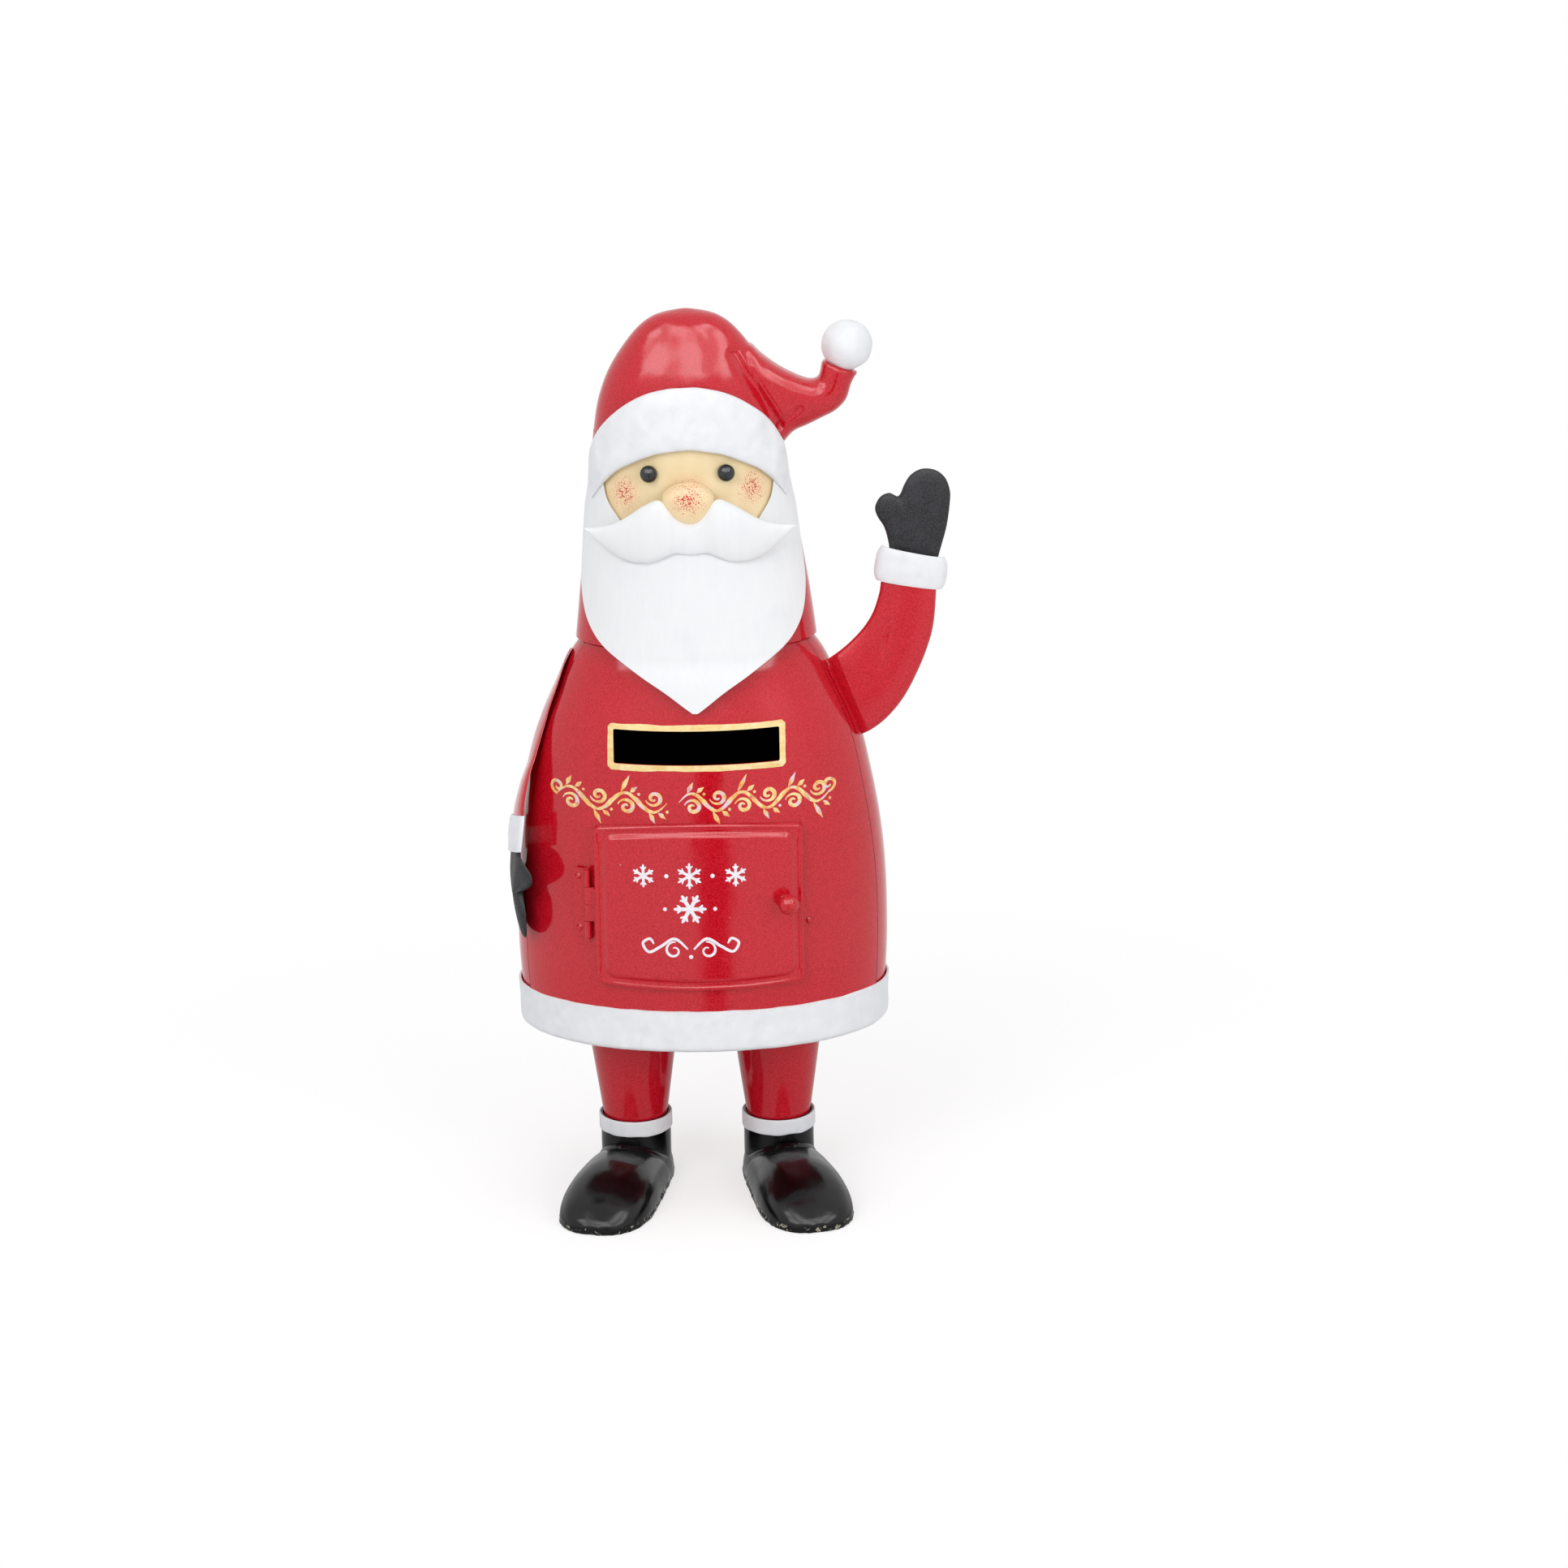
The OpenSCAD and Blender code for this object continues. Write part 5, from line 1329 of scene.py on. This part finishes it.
def door_panel():
    """Pressed door with a turned edge that stops just short of the body."""
    xs = spread(DOOR_W / 2, 0.45, 1.6, 9.0)
    ts = [v / (DOOR_H / 2) for v in spread(DOOR_H / 2, 0.45, 1.6, 9.0)]
    corner = 1.6
    rings = []
    for x in xs:
        low, high = door_edges(x)
        near = DOOR_W / 2 - abs(x)
        nip = corner - math.sqrt(max(0.0, corner ** 2 - (corner - near) ** 2)) if near < corner else 0.0
        low, high = low + nip, high - nip
        face, back = [], []
        for t in ts:
            z = lerp(low, high, (t + 1) / 2)
            y = door_y(x, z)
            face.append((x, y - door_relief(x, z), z))
            bx = clamp(x, -DOOR_W / 2 + SHEET, DOOR_W / 2 - SHEET)
            bz = clamp(z, low + SHEET, high - SHEET)
            raised = door_relief(x, z) * smooth(3.6, 6.2, min(near, z - low, high - z))
            back.append((bx, y + SHEET - raised, bz))
        rings.append((face, back, low, high))
    grid = [r[0] for r in rings]
    inner = [r[1] for r in rings]
    rim = [(i, 0) for i in range(len(xs))] + [(len(xs) - 1, j) for j in range(1, len(ts))]
    rim += [(i, len(ts) - 1) for i in range(len(xs) - 2, -1, -1)]
    rim += [(0, j) for j in range(len(ts) - 2, 0, -1)]
    verts, faces, n = [], [], len(ts)
    for rows in (grid, inner):
        base = len(verts)
        verts += [p for row in rows for p in row]
        faces += [(base + i * n + j, base + (i + 1) * n + j, base + (i + 1) * n + j + 1, base + i * n + j + 1)
                  for i in range(len(xs) - 1) for j in range(n - 1)]
    base = len(verts)

    def deep(p):
        return (p[0], panel_y(p[0], p[2], DOOR_GAP), p[2])

    outer_rim = [deep(grid[i][j]) for i, j in rim]
    inner_rim = [deep(inner[i][j]) for i, j in rim]
    verts += outer_rim + inner_rim
    m = len(rim)
    half = len(xs) * n
    for k in range(m):
        i0, j0 = rim[k]
        i1, j1 = rim[(k + 1) % m]
        a, b = i0 * n + j0, i1 * n + j1
        c, d = base + k, base + (k + 1) % m
        faces += [(a, b, d, c), (c, d, d + m, c + m), (a + half, b + half, d + m, c + m)]
    count = (len(xs) - 1) * (n - 1)
    index = [0] * count + [1] * count + [0] * (3 * m)
    obj = mesh_object("door_tray", verts, faces, [RED, PAINTED_SHADE], index, sharp=40)
    add(obj, ["door_panel"], "door")


KNOB_X, KNOB_Z = DOOR_W / 2 - 9.0, DOOR_Z + 3


def knob():
    """Turned ball on a neck, sprayed with the door."""
    slope = (door_y(KNOB_X + 1, KNOB_Z) - door_y(KNOB_X - 1, KNOB_Z)) / 2
    a = math.atan(slope)
    out = Vector((math.sin(a), -math.cos(a), 0))
    across = Vector((0, 0, 1)).cross(out)
    foot = Vector((KNOB_X, door_y(KNOB_X, KNOB_Z) - 1.2, KNOB_Z))
    r = KNOB_D / 2
    profile = [(KNOB_NECK_D / 2 + 0.5, SEAT), (KNOB_NECK_D / 2 + 0.15, 0.8), (KNOB_NECK_D / 2, 1.5),
               (KNOB_NECK_D / 2, KNOB_NECK_H)]
    start = math.asin(KNOB_NECK_D / 2 / r)
    for i in range(1, 25):
        t = lerp(start, math.pi - 0.03, i / 24)
        profile.append((r * math.sin(t), KNOB_NECK_H + r - r * math.cos(t)))
    rings = []
    for radius, up in profile:
        rings.append([tuple(foot + out * (up + 0.05 * wave((radius, k, up), 4, 2.0))
                            + (across * math.cos(t) + Vector((0, 0, 1)) * math.sin(t)) * radius)
                      for k, t in ((k, 2 * math.pi * k / 48) for k in range(48))])
    verts, faces = loft(rings)
    add(mesh_object("door_knob_ball", verts, faces, [RED], sharp=50), ["door_knob"], "door")


# ---------------------------------------------------------------- painted ornaments

def on_panel(x, z, lift):
    p = (x, panel_y(x, z, 0), z)
    return moved(p, oval_out(body_r(z) + LAP, p[0], p[1]), lift)


def on_door(x, z, lift):
    return (x, door_y(x, z) - door_relief(x, z) - lift, z)


def stroke(place, path, widths, lift, wobble, seed):
    """Points and faces of one painted stroke along a path of X and Z on a surface."""
    n, rows = len(path), 5
    top, under = [], []
    for i, (x, z) in enumerate(path):
        a, b = path[max(0, i - 1)], path[min(n - 1, i + 1)]
        way = Vector((b[0] - a[0], b[1] - a[1]))
        way = way.normalized() if way.length > 1e-9 else Vector((1, 0))
        side = Vector((-way[1], way[0]))
        w = lookup(i / (n - 1), widths) / 2
        row_t, row_u = [], []
        for k in range(rows):
            s = -1 + 2 * k / (rows - 1)
            grow = w * s * (1 + wobble * wave((x, z, s * 3 + seed), 2.2, seed))
            px, pz = x + side[0] * grow, z + side[1] * grow
            row_t.append(place(px, pz, lift * (1 - 0.45 * abs(s) ** 3)))
            row_u.append(place(px, pz, -0.12))
        top.append(row_t)
        under.append(row_u)
    rings = [t + u[::-1] for t, u in zip(top, under)]
    return loft(rings)


def strokes_object(name, place, strokes, material, body, wobble=0.12):
    verts, faces = [], []
    for i, (path, widths) in enumerate(strokes):
        more, links = stroke(place, path, widths, 0.16 + 0.006 * (i % 9), seed=1.7 * i, wobble=wobble)
        faces += [tuple(v + len(verts) for v in f) for f in links]
        verts += more
    obj = mesh_object(name, verts, faces, [material], sharp=60)
    return add(obj, (), body)


def spiral(cx, cz, r0, r1, a0, turns, flat=1.0):
    """Path that winds around a middle from radius r0 to r1."""
    steps = 30
    path = []
    for i in range(steps + 1):
        t = i / steps
        a = math.radians(a0 + 360 * turns * t)
        r = lerp(r0, r1, t)
        path.append((cx + r * math.cos(a), cz + flat * r * math.sin(a)))
    return path


def leaf(x, z, angle, long, wide):
    """Short pointed stroke."""
    a = math.radians(angle)
    path = [(x + math.cos(a) * long * i / 8, z + math.sin(a) * long * i / 8) for i in range(9)]
    return path, [(0, 0.2), (0.45, wide), (1, 0.1)]


def dot(x, z, wide):
    path = [(x - wide / 2 + wide * i / 6, z) for i in range(7)]
    return path, [(0, 0.15 * wide), (0.2, 0.8 * wide), (0.5, wide), (0.8, 0.8 * wide), (1, 0.15 * wide)]


def flake(x, z, r, w, turn=0.0):
    """Six-armed snow star with two barbs on each arm."""
    found = []
    for k in range(6):
        a = math.radians(90 + 60 * k + turn)
        tip = (x + r * math.cos(a), z + r * math.sin(a))
        path = [lerp((x, z), tip, i / 8) for i in range(9)]
        found.append((path, [(0, w), (0.8, w), (1, w * 0.45)]))
        root = lerp((x, z), tip, 0.55)
        for bend in (-48, 48):
            b = a + math.radians(bend)
            end = (root[0] + 0.34 * r * math.cos(b), root[1] + 0.34 * r * math.sin(b))
            found.append(([lerp(root, end, i / 5) for i in range(6)], [(0, w * 0.9), (1, w * 0.4)]))
    return found


def slot_border():
    """Hand-painted gold edge around the letter slot, uneven in width."""
    inner = rounded_box(SLOT_W, SLOT_H, SLOT_Z, 0.8, 3)
    corners = inner + inner[:1]
    path = []
    for a, b in zip(corners, corners[1:]):
        n = max(1, round(math.dist(a, b) / 1.2))
        path += [lerp(a, b, i / n) for i in range(n)]
    n = len(path)
    rings = []
    for i, p in enumerate(path):
        a, b = path[i - 1], path[(i + 1) % n]
        way = Vector((b[0] - a[0], b[1] - a[1])).normalized()
        out = Vector((way[1], -way[0]))
        wide = 3.0 + 0.55 * wave((p[0], 0, p[1]), 13, 4.0) + 0.15 * wave((p[0], 0, p[1]), 3, 6.0)
        wide *= 1 + 0.5 * abs(way[0] * way[1])
        start = 0.05
        marks = [start + (wide - start) * k / 5 for k in range(6)]
        ring = [on_panel(p[0] + out[0] * m, p[1] + out[1] * m, 0.2 - 0.1 * (k / 5) ** 3)
                for k, m in enumerate(marks)]
        ring += [on_panel(p[0] + out[0] * m, p[1] + out[1] * m, -0.12) for m in reversed(marks)]
        rings.append(ring)
    verts, faces = loft(rings, closed=True)
    add(mesh_object("slot_border_gold", verts, faces, [GOLD], sharp=60))


def vine(x0, x1, z, waves, high, thick):
    """Strokes of a running scroll: a waving stem with a curl in each of its hollows and small leaves."""
    n, half = 20 * waves, (x1 - x0) / waves / 2
    stem = [(lerp(x0, x1, i / n), z + high * math.sin(2 * math.pi * waves * i / n)) for i in range(n + 1)]
    widths = [(0, 0.4)] + [(k / (4 * waves), thick * (0.62 if k % 2 else 1.15)) for k in range(1, 4 * waves)]
    found = [(stem, widths + [(1, 0.4)])]
    for k in range(2 * waves):
        side = 1 if k % 2 == 0 else -1
        x = x0 + (k + 0.5) * half
        reach = min(4.4, 0.34 * half)
        curl = spiral(x + 0.6, z + side * (high - reach - 2.6), reach, 0.8, 165 * side, -1.35 * side, 0.92)
        found.append((curl, [(0, 0.5), (0.3, thick), (0.7, thick * 0.8), (1, 0.7)]))
        for dx, a, long in ((-2.0, 62, 6.0 + 1.8 * (k % 3)), (2.6, 38, 4.6)):
            found.append(leaf(x + dx, z + side * (high + 0.3), side * a, long, thick * 1.25))
        found.append(dot(x + half / 2, z + side * (high - 0.4), 1.5))
    return found


def gold_scrolls():
    """Free scrollwork in two lengths between the slot and the door, brushed on in thin gold."""
    z = SKIRT_Z + 127.9
    found = vine(-71, -15, z, 2, 4.6, 2.0) + vine(-9, 66, z + 0.6, 3, 4.4, 2.0)
    for x, s in ((-71, 1), (66, -1)):
        wound = spiral(x + 0.6 * s, z + 3.6, 3.6, 0.9, 270, -1.2 * s, 1.0)
        found.append((wound, [(0, 1.2), (0.5, 1.7), (1, 0.7)]))
    strokes_object("gold_scrolls", on_panel, found, THIN_GOLD, "case", 0.3)


def door_ornament():
    """Snow stars and a curl in three rows on the door's raised middle."""
    cx = -4.5
    found = []
    z1, z2, z3 = DOOR_Z + 17.5, DOOR_Z + 0.5, DOOR_Z - 19.5
    for x, r in ((-23, 5.8), (0, 6.6), (23, 5.8)):
        found += flake(cx + x, z1, r, 1.35)
    for x in (-11.5, 11.5):
        found.append(dot(cx + x, z1, 2.2))
    found += flake(cx, z2, 8.2, 1.9, 30)
    for x in (-12.5, 12.5):
        found.append(dot(cx + x, z2, 2.0))
    for s in (-1, 1):
        def m(path):
            return [(cx + s * x, v) for x, v in path]

        found.append((m(curve([(1.5, z3 - 1), (8, z3 + 4.5), (15, z3 + 0.5), (21, z3 - 2.5),
                               (24, z3 + 2), (20.5, z3 + 4.5),
                               (18.5, z3 + 1.8)], 8)), [(0, 0.8), (0.15, 1.5), (0.9, 1.3), (1, 0.6)]))
        found.append((m(spiral(8.4, z3 - 1.6, 4.6, 1.2, 100, -1.1)), [(0, 0.7), (0.3, 1.4), (1, 0.6)]))
    found.append(dot(cx, z3 - 5, 2.2))
    strokes_object("door_ornament_white", on_door, found, PRINT, "door", 0.05)


# ---------------------------------------------------------------- nodes that keep their CAD shape

def dress(node, material):
    """Gives a CAD node's object its finish."""
    obj = frame["nodes"][node]
    if not obj.material_slots:
        obj.data.materials.append(material)
    for s in obj.material_slots:
        s.material = material


def dress_all():
    for node in ("base_plate", "hinge_body_leaf", "hinge_body_rivets", "hinge_pin", "hinge_door_leaf",
                 "catch_rivet"):
        dress(node, RED)
    for node in ("catch_bracket", "knob_screw"):
        dress(node, STEEL)
    dress("catch_magnet", MAGNET)


# ---------------------------------------------------------------- camera, lights and stage

def camera():
    """The camera of the photograph: 2 m away, a little above and to the right."""
    far, up, turn, roll, pixels = 2.0, 16.2, 1.5, 1.3, 4830
    side, mid_x, mid_y = 1932, 861.8, 950
    e, a, r = (math.radians(v) for v in (up, turn, roll))
    target = Vector(to_row((0, 0, 220)))
    back = Vector((math.sin(a) * math.cos(e), -math.cos(a) * math.cos(e), math.sin(e)))
    right = Vector((math.cos(a), math.sin(a), 0))
    above = back.cross(right)
    x = right * math.cos(r) - above * math.sin(r)
    y = above * math.cos(r) + right * math.sin(r)
    matrix = Matrix((x, y, back)).transposed().to_4x4()
    matrix.translation = target + back * far
    data = bpy.data.cameras.new("camera")
    data.sensor_width = 36
    data.lens = pixels / side * 36
    data.shift_x = (side / 2 - mid_x) / side
    data.shift_y = (mid_y - side / 2) / side
    data.clip_start = 0.05
    obj = bpy.data.objects.new("camera", data)
    obj.matrix_world = matrix
    bpy.context.scene.collection.objects.link(obj)
    bpy.context.scene.camera = obj


def lamp(name, place, aim, width, height, power):
    data = bpy.data.lights.new(name, "AREA")
    data.shape, data.size, data.size_y, data.energy = "RECTANGLE", width, height, power
    obj = bpy.data.objects.new(name, data)
    obj.location = place
    obj.rotation_euler = (Vector(aim) - Vector(place)).to_track_quat("-Z", "Y").to_euler()
    obj.visible_glossy = False
    bpy.context.scene.collection.objects.link(obj)


def lights():
    lamp("key", (-0.75, -1.35, 1.25), (0, 0, 0.2), 0.9, 0.9, 9.4)
    lamp("fill", (1.1, -1.2, 0.7), (0, 0, 0.22), 0.8, 1.0, 6.6)
    lamp("top", (0.05, -0.1, 1.6), (0, 0, 0.2), 0.8, 0.8, 3.4)


class Sky:
    """Short calls that build the world's nodes."""

    def __init__(self):
        self.world = bpy.data.worlds.new("studio")
        bpy.context.scene.world = self.world
        self.world.use_nodes = True
        self.tree = self.world.node_tree

    def add(self, kind, inputs=(), **settings):
        n = self.tree.nodes.new(kind)
        for key, value in settings.items():
            setattr(n, key, value)
        for key, value in dict(inputs).items():
            if isinstance(value, bpy.types.NodeSocket):
                self.tree.links.new(value, n.inputs[key])
            else:
                n.inputs[key].default_value = value
        return n

    def math(self, kind, a, b=0.0):
        return self.add("ShaderNodeMath", {0: a, 1: b}, operation=kind).outputs[0]

    def ramp(self, value, low, high, out_low=0.0, out_high=1.0):
        values = {"Value": value, "From Min": low, "From Max": high, "To Min": out_low, "To Max": out_high}
        return self.add("ShaderNodeMapRange", values, interpolation_type="SMOOTHSTEP").outputs[0]

    def glow(self, way, toward, low, high, strength):
        """A soft bright patch around a direction."""
        near = self.add("ShaderNodeVectorMath", {0: way, 1: tuple(Vector(toward).normalized())},
                        operation="DOT_PRODUCT").outputs["Value"]
        return self.ramp(near, low, high, 0.0, strength)


# Bearings of the studio's dark gap, in degrees from the front towards the right, and its soft edge
GAP_FROM, GAP_TO, GAP_SOFT, GAP_LEFT = -1.4, 9.0, 1.4, 0.0
WHITE_SEEN, WHITE_MIRRORED, WHITE_LIGHT = 1.0, 1.0, 0.58
# Edge of the big soft box to both sides, as the sideways part of a direction, and its strengths
BOX_SIDE, BOX_FAINT, BOX_BRIGHT = 0.71, 1.4, 4.2


def world():
    """White studio: full white where it is seen, mirrored with a dark gap and soft bright patches, and
    plain and even as light."""
    sky = Sky()
    place = sky.add("ShaderNodeTexCoord").outputs["Generated"]
    ripple = sky.add("ShaderNodeTexNoise", {"Vector": place, "Scale": 5.0, "Detail": 2.0}).outputs["Color"]
    lumps = sky.add("ShaderNodeTexNoise", {"Vector": place, "Scale": 2.6, "Detail": 2.0}).outputs["Fac"]
    bend = sky.add("ShaderNodeVectorMath", {0: ripple, 1: (0.5, 0.5, 0.5)}, operation="SUBTRACT").outputs[0]
    bend = sky.add("ShaderNodeVectorMath", {0: bend, "Scale": 0.16}, operation="SCALE").outputs[0]
    way = sky.add("ShaderNodeVectorMath", {0: place, 1: bend}, operation="ADD").outputs[0]
    way = sky.add("ShaderNodeVectorMath", {0: way}, operation="NORMALIZE").outputs[0]
    split = sky.add("ShaderNodeSeparateXYZ", {0: place})
    bearing = sky.math("ARCTAN2", split.outputs[0], sky.math("MULTIPLY", split.outputs[1], -1.0))
    bearing = sky.math("MULTIPLY", bearing, 180 / math.pi)
    middle, half = (GAP_FROM + GAP_TO) / 2, (GAP_TO - GAP_FROM) / 2
    off = sky.math("ABSOLUTE", sky.math("SUBTRACT", bearing, middle))
    bare = sky.ramp(off, half - GAP_SOFT, half + GAP_SOFT, GAP_LEFT, WHITE_MIRRORED)
    high = sky.ramp(split.outputs[2], 0.05, 0.14)
    mirrored = sky.add("ShaderNodeMix", {0: high, 2: bare, 3: WHITE_MIRRORED}).outputs[0]
    bent = sky.add("ShaderNodeSeparateXYZ", {0: way}).outputs
    box = sky.ramp(sky.math("ABSOLUTE", bent[0]), BOX_SIDE, BOX_SIDE + 0.04, 1.0, 0.0)
    for value, low, above, start, end in ((bent[2], 0.38, 0.45, 0.0, 1.0), (bent[2], 0.9, 0.96, 1.0, 0.0),
                                          (bent[1], -0.1, 0.0, 1.0, 0.0)):
        box = sky.math("MULTIPLY", box, sky.ramp(value, low, above, start, end))
    box = sky.math("MULTIPLY", box, sky.ramp(lumps, 0.42, 0.58, BOX_FAINT, BOX_BRIGHT))
    mirrored = sky.math("ADD", mirrored, box)
    path = sky.add("ShaderNodeLightPath").outputs
    strength = sky.add("ShaderNodeMix", {0: path["Is Glossy Ray"], 2: WHITE_LIGHT, 3: mirrored}).outputs[0]
    seen = sky.math("MAXIMUM", path["Is Camera Ray"], path["Is Transmission Ray"])
    strength = sky.add("ShaderNodeMix", {0: seen, 2: strength, 3: WHITE_SEEN}).outputs[0]
    back = sky.tree.nodes["Background"]
    back.inputs["Color"].default_value = (1, 1, 1, 1)
    sky.tree.links.new(strength, back.inputs["Strength"])


def mirrored_floor(p, far):
    """The floor as the glossy paint mirrors it: white, with the studio's dark gap some way in front."""
    split = p.add("ShaderNodeSeparateXYZ", {0: p.place}).outputs
    ahead = p.math("MULTIPLY", split[1], -1.0)
    bearing = p.math("MULTIPLY", p.math("ARCTAN2", split[0], ahead), 180 / math.pi)
    off = p.math("ABSOLUTE", p.math("SUBTRACT", bearing, (GAP_FROM + GAP_TO) / 2 - 1.6))
    half = (GAP_TO - GAP_FROM) / 2
    gap = p.band(off, half - GAP_SOFT, half + GAP_SOFT, 1.0, 0.0)
    gap = p.math("MULTIPLY", gap, p.band(far, 0.22, 0.34, 0.0, 1.0 - GAP_LEFT))
    white = p.math("MULTIPLY", p.band(far, 0.08, 0.45, 0.5, WHITE_MIRRORED), p.math("SUBTRACT", 1.0, gap))
    return p.add("ShaderNodeEmission", {"Strength": white}).outputs[0]


def floor():
    """Pale floor that keeps the object's shadow and turns to plain white away from it."""
    size = 6.0
    mesh = bpy.data.meshes.new("floor")
    corners = [(-size, -size, 0), (size, -size, 0), (size, size, 0), (-size, size, 0)]
    mesh.from_pydata(corners, [], [(0, 1, 2, 3)])
    obj = bpy.data.objects.new("floor", mesh)
    bpy.context.scene.collection.objects.link(obj)
    p = Paint("floor")
    p.tree.nodes.remove(p.shader)
    out = p.tree.nodes["Material Output"]
    plain = p.add("ShaderNodeBsdfDiffuse", {"Color": (0.8, 0.8, 0.8, 1)}).outputs[0]
    lifted = p.add("ShaderNodeBsdfDiffuse", {"Color": (0.45, 0.45, 0.45, 1)}).outputs[0]
    lift = p.add("ShaderNodeEmission", {"Strength": 0.62}).outputs[0]
    near = p.add("ShaderNodeAddShader", {0: lifted, 1: lift}).outputs[0]
    white = p.add("ShaderNodeEmission", {"Strength": 1.0}).outputs[0]
    far = p.add("ShaderNodeVectorMath", {0: p.place}, operation="LENGTH").outputs["Value"]
    shown = p.add("ShaderNodeMixShader", {0: p.band(far, 0.18, 0.5), 1: near, 2: white}).outputs[0]
    path = p.add("ShaderNodeLightPath").outputs
    pick = p.add("ShaderNodeMixShader", {0: path["Is Camera Ray"], 1: plain, 2: shown}).outputs[0]
    seen = {0: path["Is Glossy Ray"], 1: pick, 2: mirrored_floor(p, far)}
    pick = p.add("ShaderNodeMixShader", seen).outputs[0]
    p.tree.links.new(pick, out.inputs["Surface"])
    mesh.materials.append(p.mat)


camera()
lights()
world()
floor()
bpy.context.scene.view_settings.view_transform = "Standard"

body_front()
body_back()
hem()
head_half("head_back_shell", 0, "head_back", False)
head_half("head_front_shell", 180, "head_front", True)
hat()
pompom()
brim()
eye(-1)
eye(1)
nose()
moustache()
beard()
raised_sleeve()
raised_hand()
lowered_arm()
for way, word in ((-1, "left"), (1, "right")):
    leg(way, word)
    boot_shaft(way, word)
    boot_band(way, word)
    boot_foot(way, word)
    boot_sole(way, word)
door_panel()
knob()
slot_border()
gold_scrolls()
door_ornament()
dress_all()

for piece in ("head_back_shell", "head_front_shell", "hat_front_shell", "hat_back_shell", "pompom_ball",
              "hat_brim_white", "left_eye_bead", "right_eye_bead", "nose_painted",
               "moustache_white", "beard_white"):
    lean(bpy.data.objects[piece])
